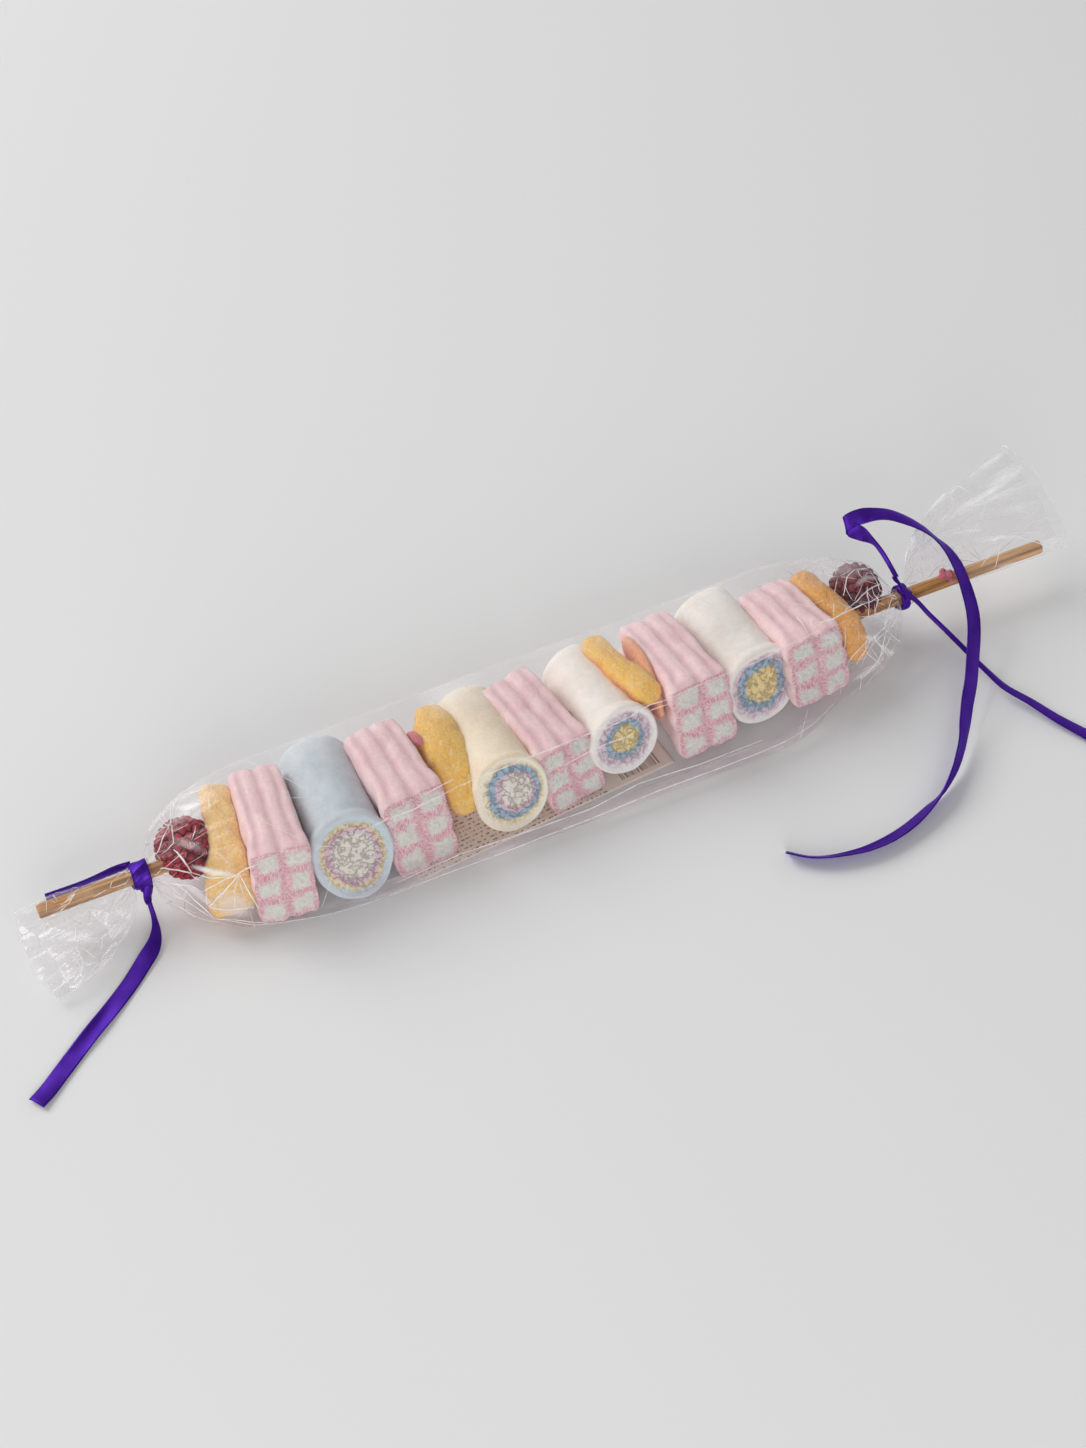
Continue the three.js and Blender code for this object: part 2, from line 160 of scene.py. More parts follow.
def grid_faces(rows, columns, closed=True, start=0):
    """Quads over a grid of points stored row by row, the columns closing on themselves."""
    last = columns if closed else columns - 1
    i, j = np.meshgrid(np.arange(rows - 1), np.arange(last), indexing="ij")
    a = i * columns + j
    b = i * columns + (j + 1) % columns
    return (np.stack([a, b, b + columns, a + columns], -1).reshape(-1, 4) + start).tolist()


def fan_faces(centre, ring):
    """Triangles from a centre point to a closed ring of point numbers."""
    return [(centre, ring[k], ring[(k + 1) % len(ring)]) for k in range(len(ring))]


def capped(grid, first_middle, last_middle):
    """Points and faces of a tube of rings, closed round a point in the middle of each end."""
    rows, sides = grid.shape[:2]
    points = np.vstack([grid.reshape(-1, 3), first_middle, last_middle])
    first, last = list(range(sides)), list(range((rows - 1) * sides, rows * sides))
    caps = fan_faces(len(points) - 2, first[::-1]) + fan_faces(len(points) - 1, last)
    return points, grid_faces(rows, sides) + caps


def ball_grid(down, around, margin=0.0):
    """Points on a ball of radius 1, row by row from its top. margin is left open at each pole."""
    polar = np.linspace(margin, math.pi - margin, down)[:, None]
    azimuth = circle(around)
    sides = (np.sin(polar) * np.cos(azimuth), np.sin(polar) * np.sin(azimuth), np.cos(polar))
    return np.stack(np.broadcast_arrays(*sides), -1)


def rotation(axis, degrees):
    angle = math.radians(degrees)
    c, s = math.cos(angle), math.sin(angle)
    return {
        "x": np.array([[1, 0, 0], [0, c, -s], [0, s, c]]),
        "y": np.array([[c, 0, s], [0, 1, 0], [-s, 0, c]]),
        "z": np.array([[c, -s, 0], [s, c, 0], [0, 0, 1]]),
    }[axis]


def smoothstep(low, high, value):
    t = np.clip((value - low) / (high - low), 0, 1)
    return t * t * (3 - 2 * t)


def rough(points, size, seed, octaves=2):
    """Smooth noise between about -1 and 1 at each point, with features of this size."""
    shift = Vector((17.3 * seed, -9.1 * seed, 5.7 * seed))
    return np.array([
        noise.fractal(Vector(p) / size + shift, 1.0, 2.0, octaves, noise_basis="PERLIN_ORIGINAL")
        for p in points
    ])


def through(points, step):
    """Smooth line through the points, at even steps along its first three columns."""
    points = np.asarray(points, float)
    padded = np.vstack([2 * points[0] - points[1], points, 2 * points[-1] - points[-2]])
    dense = []
    for k in range(1, len(padded) - 2):
        p0, p1, p2, p3 = padded[k - 1:k + 3]
        for t in np.linspace(0, 1, 24, endpoint=False):
            dense.append(0.5 * (
                2 * p1 + (p2 - p0) * t + (2 * p0 - 5 * p1 + 4 * p2 - p3) * t * t
                + (3 * p1 - p0 - 3 * p2 + p3) * t ** 3
            ))
    dense.append(points[-1])
    dense = np.array(dense)
    run = run_along(dense[:, :3])
    even = np.linspace(0, run[-1], max(2, round(run[-1] / step) + 1))
    return np.stack([np.interp(even, run, dense[:, c]) for c in range(dense.shape[1])], -1)


# ---- materials ------------------------------------------------------------------------------


class Wire:
    """What comes out of a node. It takes plain arithmetic with numbers and other wires."""

    def __init__(self, nodes, socket):
        self.nodes = nodes
        self.socket = socket

    def __add__(self, other):
        return self.nodes.math("ADD", self, other)

    def __sub__(self, other):
        return self.nodes.math("SUBTRACT", self, other)

    def __rsub__(self, other):
        return self.nodes.math("SUBTRACT", other, self)

    def __mul__(self, other):
        return self.nodes.math("MULTIPLY", self, other)

    def __abs__(self):
        return self.nodes.math("ABSOLUTE", self)


class Nodes:
    """Short names for building a material's node tree."""

    def __init__(self, name):
        self.material = bpy.data.materials.new(name)
        self.material.use_nodes = True
        self.tree = self.material.node_tree
        self.tree.nodes.clear()
        self.output = self.tree.nodes.new("ShaderNodeOutputMaterial")

    def node(self, kind, inputs, output=0, **settings):
        """What comes out of a new node, whose inputs are wires or plain values."""
        made = self.tree.nodes.new("ShaderNode" + kind)
        for key, value in settings.items():
            setattr(made, key, value)
        for key, value in inputs.items():
            if isinstance(value, Wire):
                self.tree.links.new(value.socket, made.inputs[key])
            else:
                made.inputs[key].default_value = value
        return Wire(self, made.outputs[output])

    def math(self, operation, a, b=0.0, clamp=False):
        return self.node("Math", {0: a, 1: b}, operation=operation, use_clamp=clamp)

    def fraction(self, value):
        return self.math("FRACT", value)

    def coordinates(self):
        return self.node("TexCoord", {}, "Object")

    def split(self, vector):
        made = self.node("SeparateXYZ", {0: vector}).socket.node
        return [Wire(self, output) for output in made.outputs]

    def uv(self):
        return self.split(self.node("TexCoord", {}, "UV"))[:2]

    def combine(self, x, y=0.0):
        return self.node("CombineXYZ", {0: x, 1: y})

    def stretched(self, scale):
        return self.node("Mapping", {"Vector": self.coordinates(), "Scale": scale})

    def noise(self, scale, detail=3.0, roughness=0.5, vector=None):
        where = vector or self.coordinates()
        inputs = {"Vector": where, "Scale": scale, "Detail": detail, "Roughness": roughness}
        return self.node("TexNoise", inputs, "Fac")

    def ramp(self, value, stops):
        made = self.node("ValToRGB", {"Fac": value}, "Color")
        elements = made.socket.node.color_ramp.elements
        while len(elements) < len(stops):
            elements.new(0.5)
        for element, (position, colour) in zip(elements, stops):
            element.position = position
            element.color = (*colour, 1)
        return made

    def grey(self, value, low, high, from_value=0.0, to_value=1.0):
        """from_value where the value is low, to_value where it is high, and even between."""
        inputs = {"Value": value, "From Min": low, "From Max": high, "To Min": from_value, "To Max": to_value}
        return self.node("MapRange", inputs)

    def window(self, value, rise_from, rise_to, fall_from, fall_to):
        """1 between the inner two values and 0 outside the outer two."""
        return self.grey(value, rise_from, rise_to) * self.grey(value, fall_from, fall_to, 1.0, 0.0)

    def mix(self, factor, a, b, blend_type="MIX"):
        colours = {key: (*c, 1) if isinstance(c, tuple) else c for key, c in ((6, a), (7, b))}
        return self.node("Mix", {0: factor, **colours}, 2, data_type="RGBA", blend_type=blend_type)

    def bump(self, height, distance, strength=1.0):
        return self.node("Bump", {"Height": height, "Distance": distance, "Strength": strength})

    def clear(self, colour):
        return self.node("BsdfTransparent", {"Color": (*colour, 1)})

    def matt(self, colour):
        return self.node("BsdfDiffuse", {"Color": (*colour, 1)})

    def blend(self, share, first, second):
        return self.node("MixShader", {0: share, 1: first, 2: second})

    def principled(self, inputs):
        return self.node("BsdfPrincipled", inputs)

    def finish(self, shader):
        self.tree.links.new(shader.socket, self.output.inputs["Surface"])
        return self.material


def srgb(red, green, blue):
    """Linear colour of an sRGB colour given from 0 to 255."""
    def linear(value):
        value /= 255
        return value / 12.92 if value <= 0.04045 else ((value + 0.055) / 1.055) ** 2.4
    return linear(red), linear(green), linear(blue)


def scaled(colour, share):
    return tuple(share * c for c in colour)


SOFTNESS = {"Subsurface Weight": 0.35, "Subsurface Scale": 0.0035, "Subsurface Radius": (1.0, 0.6, 0.5)}


def soft_skin(name, colour, shade, groove_count=0):
    """Matt, slightly powdery marshmallow skin, mottled, with painted shade in its grooves."""
    n = Nodes(name)
    mottle = n.noise(160, 4) * 0.55 + n.noise(900, 3, 0.65) * 0.45
    base = n.mix(n.grey(mottle, 0.38, 0.64), colour, shade)
    if groove_count:
        u, _ = n.uv()
        # Painted shade in the grooves along the top, stronger in some patches than in others.
        wave = n.math("COSINE", u * (2 * math.pi * groove_count))
        groove = n.grey(wave, 0.3, -1.0) * n.grey(u, 1.0, 1.02, 1.0, 0.0)
        shade_patchiness = n.grey(n.noise(240, 3), 0.3, 0.7, 0.25, 0.75)
        base = n.mix(groove * shade_patchiness, base, scaled(shade, 0.9))
    height = n.noise(2600, 2) * 0.35 + n.noise(420, 4)
    return n.finish(n.principled({
        "Base Color": base, "Roughness": 0.62, "Normal": n.bump(height, 0.0005, 0.6),
        "Specular IOR Level": 0.35, **SOFTNESS,
    }))


def block_end(name, white, pink, stroke):
    """Cut end of a square sweet: white cells in a pink lattice that is torn into short
    strokes across its lines."""
    n = Nodes(name)
    u, v = n.uv()
    wander = (n.noise(200, 2) - 0.5) * 0.16
    lump = (n.noise(520, 3, 0.6) - 0.5) * 0.7
    fringe = (n.noise(1700, 3, 0.7) - 0.5) * 0.55

    def edge(value, count):
        return abs(n.fraction((value + wander) * count) - 0.5) * 2.0

    across, high = edge(u, CELLS_ACROSS), edge(v, CELLS_HIGH)
    line = n.math("MAXIMUM", across, high) + (lump + fringe)
    flat = n.noise(1.0, 2, 0.6, n.combine(u * 62.0, v * 16.0))
    upright = n.noise(1.0, 2, 0.6, n.combine(u * 14.0, v * 80.0))
    strokes = n.mix(n.math("GREATER_THAN", across, high), flat, upright)
    crumb = n.noise(760, 5, 0.75)
    # Painted shade: the cells darken where the crumb noise, which also sinks the bump, is low.
    cell = n.mix(n.grey(crumb, 0.38, 0.60), scaled(white, 0.84), white)
    lattice = n.mix(n.grey(strokes, 0.44, 0.60), pink, stroke)
    height = strokes * 0.8 + (crumb + n.noise(1900, 3))
    return n.finish(n.principled({
        "Base Color": n.mix(n.grey(line, 0.50, 0.80), cell, lattice), "Roughness": 0.75,
        "Normal": n.bump(height, 0.0006, 0.9), "Specular IOR Level": 0.3, **SOFTNESS,
    }))


def roll_end(name, rings):
    """Cut end of a roll: rings of colour from the core outwards, UV.x being the radius."""
    n = Nodes(name)
    u, _ = n.uv()
    wander = (n.noise(300, 3, 0.55) - 0.5) * 0.17
    base = n.ramp(u + wander, rings)
    wrinkle = n.noise(400, 3, 0.55)
    vein = n.grey(abs(wrinkle - 0.5), 0.0, 0.055)
    inner = n.grey(u, 0.86, 0.70)
    # Painted shade: the inner part darkens along the wrinkle creases, which the bump also sinks.
    base = n.mix((1.0 - vein) * (inner * 0.42), base, (0.46, 0.42, 0.41), "MULTIPLY")
    height = vein * inner + n.noise(1700, 3) * 0.5
    return n.finish(n.principled({
        "Base Color": base, "Roughness": 0.7, "Normal": n.bump(height, 0.0006, 0.9),
        "Specular IOR Level": 0.3, **SOFTNESS,
    }))


def jelly(name, colour, deep, sugar=0.5, depth=0.55):
    """Soft fruit jelly, UV.x being 1 on its paler, sugared top; painted shade deepens it below."""
    n = Nodes(name)
    u, _ = n.uv()
    crystals = n.noise(1050, 3, 0.75)
    up = u + (n.noise(150, 4, 0.6) - 0.5) * 0.7
    # Painted shade: from the jelly's colour on top to the deep colour towards its underside.
    base = n.mix(n.grey(up, 0.42, 0.78), deep, colour)
    pale = tuple(0.4 * c + 0.58 for c in colour)
    dusted = n.grey(crystals, 0.50, 0.64, 0.0, sugar) * n.grey(up, 0.45, 0.8, 0.25, 1.0)
    height = crystals * 0.8 + n.noise(420, 3)
    return n.finish(n.principled({
        "Base Color": n.mix(dusted, base, pale), "Roughness": n.grey(crystals, 0.4, 0.7, 0.26, 0.5),
        "Normal": n.bump(height, 0.0008), "Sheen Weight": 0.3, "Sheen Roughness": 0.5,
        "Subsurface Weight": depth, "Subsurface Scale": 0.004, "Subsurface Radius": (1.0, 0.55, 0.2),
    }))


def berry_skin(name, colour, deep, dust):
    """Dark red jelly, UV.x being 0 in the gaps between the drupelets and 1 on their tops.

    dust is how far fine sugar pales its top, and painted shade darkens the gaps.
    """
    n = Nodes(name)
    u, _ = n.uv()
    _, _, height = n.split(n.coordinates())
    base = n.mix(n.grey(n.noise(130, 3), 0.35, 0.65), colour, deep)
    crystals = n.noise(1900, 2)
    dusted = n.grey(height, 0.0215, 0.029, 0.0, dust) * n.grey(crystals, 0.3, 0.7, 0.6, 1.0)
    base = n.mix(dusted, base, srgb(190, 84, 96))
    # Painted shade in the gaps between the drupelets.
    base = n.mix(n.grey(u, 0.4, 0.08), base, srgb(56, 3, 16))
    return n.finish(n.principled({
        "Base Color": base, "Roughness": 0.36, "Normal": n.bump(crystals, 0.0003, 0.4),
        "Specular IOR Level": 0.22,
        "Subsurface Weight": 0.1, "Subsurface Scale": 0.003, "Subsurface Radius": (1.0, 0.3, 0.2),
    }))


def wood(name):
    n = Nodes(name)
    grain = n.noise(1.0, 5, 0.65, n.stretched((28, 900, 900)))
    streak = n.noise(1.0, 3, 0.6, n.stretched((9, 330, 330)))
    base = n.ramp(grain, [(0.30, srgb(132, 82, 36)), (0.48, srgb(204, 146, 80)), (0.70, srgb(228, 182, 118))])
    base = n.mix(n.grey(streak, 0.52, 0.66, 0.0, 0.75), base, srgb(118, 70, 30))
    base = n.mix(n.grey(n.noise(75, 3), 0.55, 0.75, 0.0, 0.3), base, srgb(236, 206, 160))
    return n.finish(n.principled({
        "Base Color": base, "Roughness": n.grey(grain, 0.3, 0.7, 0.62, 0.42),
        "Normal": n.bump(grain, 0.0004, 0.7),
    }))


def satin(name):
    """Narrow satin ribbon. UV.x runs across it and UV.y along it, in millimetres."""
    n = Nodes(name)
    u, v = n.uv()
    thread = n.math("SINE", u * (2 * math.pi * 26))
    weft = n.math("SINE", v * (2 * math.pi * 3.2))
    edge = n.grey(abs(u - 0.5), 0.42, 0.47)
    base = n.mix(n.grey(n.noise(140, 3), 0.3, 0.7), srgb(66, 24, 148), srgb(82, 36, 166))
    return n.finish(n.principled({
        "Base Color": n.mix(edge * 0.6, base, srgb(52, 16, 122)), "Roughness": 0.36,
        "Normal": n.bump(thread * 0.5 + weft * 0.25, 0.00006, 0.3),
        "Metallic": 0.7, "Specular IOR Level": 0.8, "Specular Tint": (*srgb(196, 168, 250), 1),
    }))


def film(name, haze, crinkle, roughness, facing_share, grazing_share):
    """Thin clear film: more of a mirror towards grazing angles, otherwise see-through.

    facing_share is the light that one sheet reflects when seen square on, and grazing_share
    what is added to it towards the edge. UV.x is a painted sheen, and UV.y a painted highlight
    that whitens it where a fold catches the light.
    """
    n = Nodes(name)
    painted_sheen, painted_gleam = n.uv()
    crease = n.noise(1.0, 4, 0.6, n.stretched((90, 260, 260)))
    normal = n.bump(crease, 0.0006, crinkle)
    grazing = n.math("POWER", n.node("LayerWeight", {"Blend": 0.5, "Normal": normal}, "Facing"), 4.0)
    gloss = n.node("BsdfGlossy", {"Color": (1, 1, 1, 1), "Roughness": roughness, "Normal": normal})
    sheet = n.blend(grazing * grazing_share + facing_share, n.clear((0.99, 0.985, 0.99)), gloss)
    cloud = n.grey(crease, 0.45, 0.8, haze * 0.6, haze * 1.8) + grazing * 0.12
    # Painted sheen and painted highlights from the UVs, whitening the film over its haze.
    painted_sheen_and_gleams = painted_sheen + painted_gleam * n.grey(crease, 0.3, 0.7, 0.7, 1.2)
    whitened = n.math("ADD", cloud, painted_sheen_and_gleams, clamp=True)
    return n.finish(n.blend(whitened, sheet, n.matt((0.97, 0.96, 0.97))))


def film_double(name):
    """Two sheets of the film pressed flat on each other; their tint is painted shade and reflection."""
    n = Nodes(name)
    cloud = n.noise(1.0, 3, 0.5, n.stretched((60, 300, 300)))
    share = n.grey(cloud, 0.35, 0.7, 0.06, 0.3)
    return n.finish(n.blend(share, n.clear((0.92, 0.87, 0.89)), n.matt((0.92, 0.88, 0.90))))


def crease_line(name, opacity):
    """Whitened line of a fold, or the cut edge of the film; partly a painted highlight."""
    n = Nodes(name)
    white = n.principled({"Base Color": (0.97, 0.94, 0.95, 1), "Roughness": 0.25, "Specular IOR Level": 0.8})
    share = n.grey(n.noise(260, 3), 0.32, 0.58, opacity * 0.5, opacity)
    return n.finish(n.blend(share, n.clear((1, 1, 1)), white))


DASH_ROWS = 22


def printed_paper(name):
    """Plain paper with rows of dashes and one group of upright bars, and no letters."""
    n = Nodes(name)
    u, v = n.uv()
    row = n.fraction(v * DASH_ROWS)
    row_number = n.math("FLOOR", v * DASH_ROWS)
    offset = n.math("SINE", row_number * 12.9) * 7.3
    dash = n.noise(1.0, 2, 0.7, n.combine(u * 60 + offset, row_number))
    ink = n.window(row, 0.30, 0.38, 0.66, 0.74) * n.grey(dash, 0.49, 0.54)
    dashes = ink * n.grey(u, 0.735, 0.74, 1.0, 0.0)
    bar = n.noise(1.0, 1, 0.5, n.combine(u * 150))
    bars = n.grey(bar, 0.49, 0.51) * n.window(u, 0.80, 0.803, 0.955, 0.958)
    bars = bars * n.window(v, 0.06, 0.07, 0.5, 0.51)
    fibre = n.noise(900, 4)
    sheet = n.mix(fibre, srgb(244, 230, 216), srgb(250, 240, 228))
    return n.finish(n.principled({
        "Base Color": n.mix(n.math("MAXIMUM", dashes, bars) * 0.8, sheet, srgb(122, 86, 66)),
        "Roughness": 0.85, "Normal": n.bump(fibre, 0.0001, 0.5),
    }))


def floor_material():
    n = Nodes("floor")
    base = n.mix(n.noise(3, 2), (0.80, 0.80, 0.80), (0.82, 0.82, 0.82))
    return n.finish(n.principled({"Base Color": base, "Roughness": 0.7}))


# ---- ribbon ---------------------------------------------------------------------------------

RIBBON_WIDTH = 6.0
RIBBON_THICKNESS = 0.36
RIBBON_STEP = 0.8
RIBBON_CLEARANCE = 0.1
ACROSS = 12

# Routes of the tails from the knot outwards: x, y, z, and the lean of the ribbon's face in
# degrees, 0 where it lies flat and 90 where it stands on its edge.
TAIL_LEFT_LONG = [
    (36.9, -6.2, 11.0, 64), (36.9, -8.0, 8.8, 58), (36.8, -10.9, 6.2, 46), (35.8, -14.6, 3.8, 32),
    (32.8, -19.2, 2.0, 14), (27.0, -24.2, 1.0, 2), (20.8, -29.5, 0.6, 0), (14.4, -34.5, 0.6, 0),
    (7.7, -39.4, 0.6, 0), (0.9, -44.1, 0.6, 0), (-5.6, -48.8, 0.6, 0), (-11.9, -53.6, 0.8, 0),
    (-18.3, -58.5, 1.1, 0), (-23.4, -61.9, 1.6, 0),
]
TAIL_LEFT_SHORT = [
    (35.2, 4.2, 18.0, 92), (32.0, 4.9, 17.4, 96), (28.0, 5.2, 16.8, 104), (22.0, 5.1, 16.5, 108),
    (16.0, 5.0, 16.3, 108), (10.0, 5.2, 16.1, 108), (4.4, 5.5, 15.9, 108),
]
TAIL_RIGHT_LOOP = [
    (337.2, 2.6, 25.4, 88), (337.2, 7.7, 27.0, 90), (337.4, 14.3, 28.0, 92), (336.8, 20.6, 28.8, 92),
    (334.5, 25.5, 29.4, 90), (331.8, 28.6, 30.0, 80), (330.2, 29.9, 31.4, 62), (331.4, 30.0, 32.8, 110),
    (335.6, 29.8, 33.6, 164), (341.7, 28.6, 33.8, 174), (347.2, 26.2, 33.6, 186), (351.5, 21.8, 33.2, 197),
    (355.1, 16.4, 32.4, 211), (357.7, 10.5, 31.2, 224), (359.7, 4.9, 29.6, 216), (360.5, -1.4, 27.2, 208),
    (360.3, -7.2, 24.4, 208), (359.4, -13.5, 21.2, 205), (358.0, -19.4, 18.0, 206), (355.6, -25.2, 15.2, 211),
    (352.0, -31.4, 12.6, 214), (345.2, -41.8, 9.6, 218), (339.7, -48.7, 8.0, 221), (334.6, -55.8, 6.8, 227),
    (329.2, -62.9, 5.8, 242), (323.3, -68.9, 5.0, 250), (318.8, -72.9, 4.4, 260), (311.9, -78.3, 3.7, 280),
    (306.5, -81.0, 3.4, 304), (299.2, -84.3, 3.0, 318), (291.9, -86.7, 2.7, 324), (284.3, -88.4, 2.5, 326),
    (277.4, -89.0, 2.5, 324), (271.1, -88.6, 2.5, 320), (262.6, -86.7, 2.6, 314), (254.7, -83.1, 2.6, 312),
    (248.0, -77.6, 2.6, 312),
]
TAIL_RIGHT_STRAIGHT = [
    (339.2, -3.9, 22.4, 18), (342.2, -6.6, 19.4, 18), (345.4, -10.4, 15.0, 20), (349.4, -16.6, 10.5, 22),
    (352.2, -25.1, 8.0, 22), (355.1, -37.4, 6.0, 22), (357.6, -46.9, 4.8, 18), (363.1, -56.5, 3.6, 16),
    (367.8, -65.9, 2.6, 14), (373.7, -75.9, 1.7, 10), (378.2, -83.6, 1.1, 4), (382.4, -90.6, 0.7, 0),
]

SATIN = satin("satin_violet")

# How the loop's ribbon lies at its fold, by the number of the point: the way it is wide.
LOOP_FOLD = {
    4: (0.61, 0.21, 0.76), 5: (0.3, 0.35, 0.89), 6: (0.0, 0.62, 0.78), 7: (0.0, 0.66, 0.75),
    8: (0.02, 0.74, 0.67),
}
# Where a ribbon leaves its knot it is folded in: the share of its width there, and from how
# far along and over what length it opens out.
PINCHES = {
    "ribbon_left_long": (0.34, 5.0, 17.0), "ribbon_left_short": (0.6, 0.0, 8.0),
    "ribbon_right_loop": (0.42, 13.0, 14.0), "ribbon_right_straight": (0.4, 12.0, 110.0),
}
OVER_PINCH = (0.5, 0.0, 15.0)


def level_across(heading):
    """The level direction at right angles to each heading."""
    return unit(np.stack([heading[:, 1], -heading[:, 0], np.zeros(len(heading))], -1))


def ribbon_mesh(route, pinch, folds=None):
    """Points, faces and UVs of a flat ribbon along its route, with its centre line and run."""
    route = np.asarray(route, float)
    heading = unit(np.gradient(route[:, :3], axis=0))
    level = level_across(heading)
    lean = np.radians(route[:, 3])[:, None]
    wide = level * np.cos(lean) + np.cross(level, heading) * np.sin(lean)
    for number, direction in (folds or {}).items():
        wide[number] = direction
    line = through(np.hstack([route[:, :3], wide]), RIBBON_STEP)
    centre, across = line[:, :3], unit(line[:, 3:])
    normal = unit(np.cross(unit(np.gradient(centre, axis=0)), across))
    run = run_along(centre)
    share, opens_from, opens_over = pinch
    spread = smoothstep(opens_from, opens_from + opens_over, run)
    half = RIBBON_WIDTH / 2 * (share + (1 - share) * spread)
    side = np.linspace(-1, 1, ACROSS)
    wave = 0.10 * np.sin(run / 7.0 + 2.0) + 0.06 * np.sin(run / 3.1)
    bow = 0.55 * np.sin(run / 13.0 + 0.6) + 0.2 * np.sin(run / 5.3 + 1.0)
    cup = ((bow + wave) * spread + 0.9 * (1 - spread) ** 2)[:, None] * (side ** 2 - 0.4)[None, :]
    thick = RIBBON_THICKNESS / 2 * (1 + 0.35 * np.abs(side) ** 10)
    rings, uv = [], []
    for face, order in ((1, slice(None)), (-1, slice(None, None, -1))):
        s = side[order]
        lift = (cup[:, order] + face * thick[order][None, :])[..., None]
        sideways = across[:, None, :] * (half[:, None] * s)[..., None]
        rings.append(centre[:, None, :] + sideways + normal[:, None, :] * lift)
        uv.append(np.stack(np.broadcast_arrays((s + 1) / 2, run[:, None]), -1))
    points = np.concatenate(rings, 1)
    points[..., 2] = np.maximum(points[..., 2], RIBBON_CLEARANCE)
    columns = 2 * ACROSS
    faces = grid_faces(len(run), columns)
    last = (len(run) - 1) * columns
    for k in range(ACROSS - 1):
        faces.append((k + 1, k, columns - 1 - k, columns - 2 - k))
        faces.append((last + k, last + k + 1, last + columns - 2 - k, last + columns - 1 - k))
    return points.reshape(-1, 3), faces, np.concatenate(uv, 1).reshape(-1, 2), centre, run


def ribbon(name, route, folds=None):
    points, faces, uv, centre, run = ribbon_mesh(route, PINCHES[name], folds)
    piece = make_piece(name, points, faces, [SATIN], "satin", (name,), uv=uv)
    return piece, centre, float(run[-1])


def ribbon_cord(name, route, folds=None):
    piece, centre, length = ribbon(name, route, folds)
    length / 1000
    return piece


left_short, _, _ = ribbon("ribbon_left_short", TAIL_LEFT_SHORT)
ribbon_cord("ribbon_left_long", TAIL_LEFT_LONG)
ribbon_cord("ribbon_right_loop", TAIL_RIGHT_LOOP, folds=LOOP_FOLD)
ribbon_cord("ribbon_right_straight", TAIL_RIGHT_STRAIGHT)

# ---- knots ----------------------------------------------------------------------------------

TIE_LEFT_X = 36.5
TIE_RIGHT_X = 338.8
NECK_RADIUS = 3.7
BAND_INNER = 3.9
BAND_THICKNESS = 1.0

# Short stretches of ribbon over each knot, which lead into the tails.
OVER_LEFT = [
    (38.6, -3.4, 17.6, 30), (38.0, -4.6, 15.4, 40), (37.4, -5.5, 13.2, 52), (36.9, -6.3, 10.8, 62),
    (36.9, -7.2, 9.7, 62),
]
OVER_RIGHT = [
    (337.2, 4.0, 25.9, 80), (337.3, 2.4, 25.2, 76), (337.9, 0.4, 24.0, 50), (338.5, -1.6, 23.4, 34),
    (339.1, -3.6, 22.6, 22), (339.8, -4.6, 21.9, 18),
]


def knot(name, tie_x, width, lump, turn, over, replaces):
    """Ribbon wound twice round the neck of the bag, with the lump of its knot and the
    stretch that leads over it into a tail."""
    sides, rows = 72, 16
    theta = circle(sides)
    half = width / 2
    profile = np.linspace(-1, 1, rows)
    points, uv = [], []
    for layer, shift in ((0, -0.12), (1, 0.12)):
        for face in (0, 1):
            for p in (profile if face == 0 else profile[::-1]):
                edge = 1 - 0.25 * abs(p) ** 6
                radius = BAND_INNER + BAND_THICKNESS * (0.45 * layer + (0.5 * edge if face == 0 else 0.0))
                wrinkle = 0.16 * np.cos(3 * theta + 2.2 * p + layer) + 0.09 * np.cos(11 * theta + 4 * p)
                ring = radius + (wrinkle if face == 0 else 0)
                x = tie_x + half * (0.94 * p + shift) + turn * np.sin(theta + 1.7 * layer)
                points.append(np.stack([x, ring * np.cos(theta), AXIS_Z + ring * np.sin(theta)], -1))
                uv.append(np.stack([np.full(sides, (p + 1) / 2), theta * radius], -1))
    count = 2 * rows
    faces = []
    for layer in (0, 1):
        start = layer * count * sides
        faces += grid_faces(count, sides, start=start)
        last = start + (count - 1) * sides
        for k in range(sides):
            after = (k + 1) % sides
            faces.append((last + k, last + after, start + after, start + k))
    around, down = 28, 18
    base = len(points) * sides
    ball = ball_grid(down, around)
    groove = 1 - 0.22 * np.exp(-(((ball[..., 0] + 0.6 * ball[..., 1]) / 0.16) ** 2))
    ball = ball * groove[..., None] * np.array(lump["radii"])
    ball += np.array([tie_x + lump["x"], lump["y"], AXIS_Z + lump["z"]])
    faces += grid_faces(down, around, start=base)
    turn_run = circle(around) * lump["radii"][0]
    ball_uv = np.stack(np.broadcast_arrays(np.linspace(0, 1, down)[:, None], turn_run), -1)
    over_points, over_faces, over_uv, _, _ = ribbon_mesh(over, OVER_PINCH)
    start = base + around * down
    faces += [tuple(i + start for i in face) for face in over_faces]
    all_points = np.vstack([np.vstack(points), ball.reshape(-1, 3), over_points])
    all_uv = np.vstack([np.vstack(uv), ball_uv.reshape(-1, 2), over_uv])
    return make_piece(name, all_points, faces, [SATIN], "satin", replaces, uv=all_uv)


LUMP_LEFT = {"x": 0.9, "y": -3.4, "z": -3.6, "radii": (2.4, 1.9, 2.0)}
LUMP_RIGHT = {"x": -0.6, "y": -0.4, "z": 4.6, "radii": (1.7, 2.3, 1.7)}
knot("knot_left_wound", TIE_LEFT_X, 6.2, LUMP_LEFT, 0.25, OVER_LEFT, ("knot_left",))
knot("knot_right_wound", TIE_RIGHT_X, 3.6, LUMP_RIGHT, 0.5, OVER_RIGHT, ("knot_right",))

# ---- stick ----------------------------------------------------------------------------------

STICK_RADIUS = 2.6
# How far each ring is from the stick's end, and its share of the radius.
STICK_END = [(0.0, 0.5), (0.0, 0.86), (0.18, 0.95), (0.5, 1.0)]


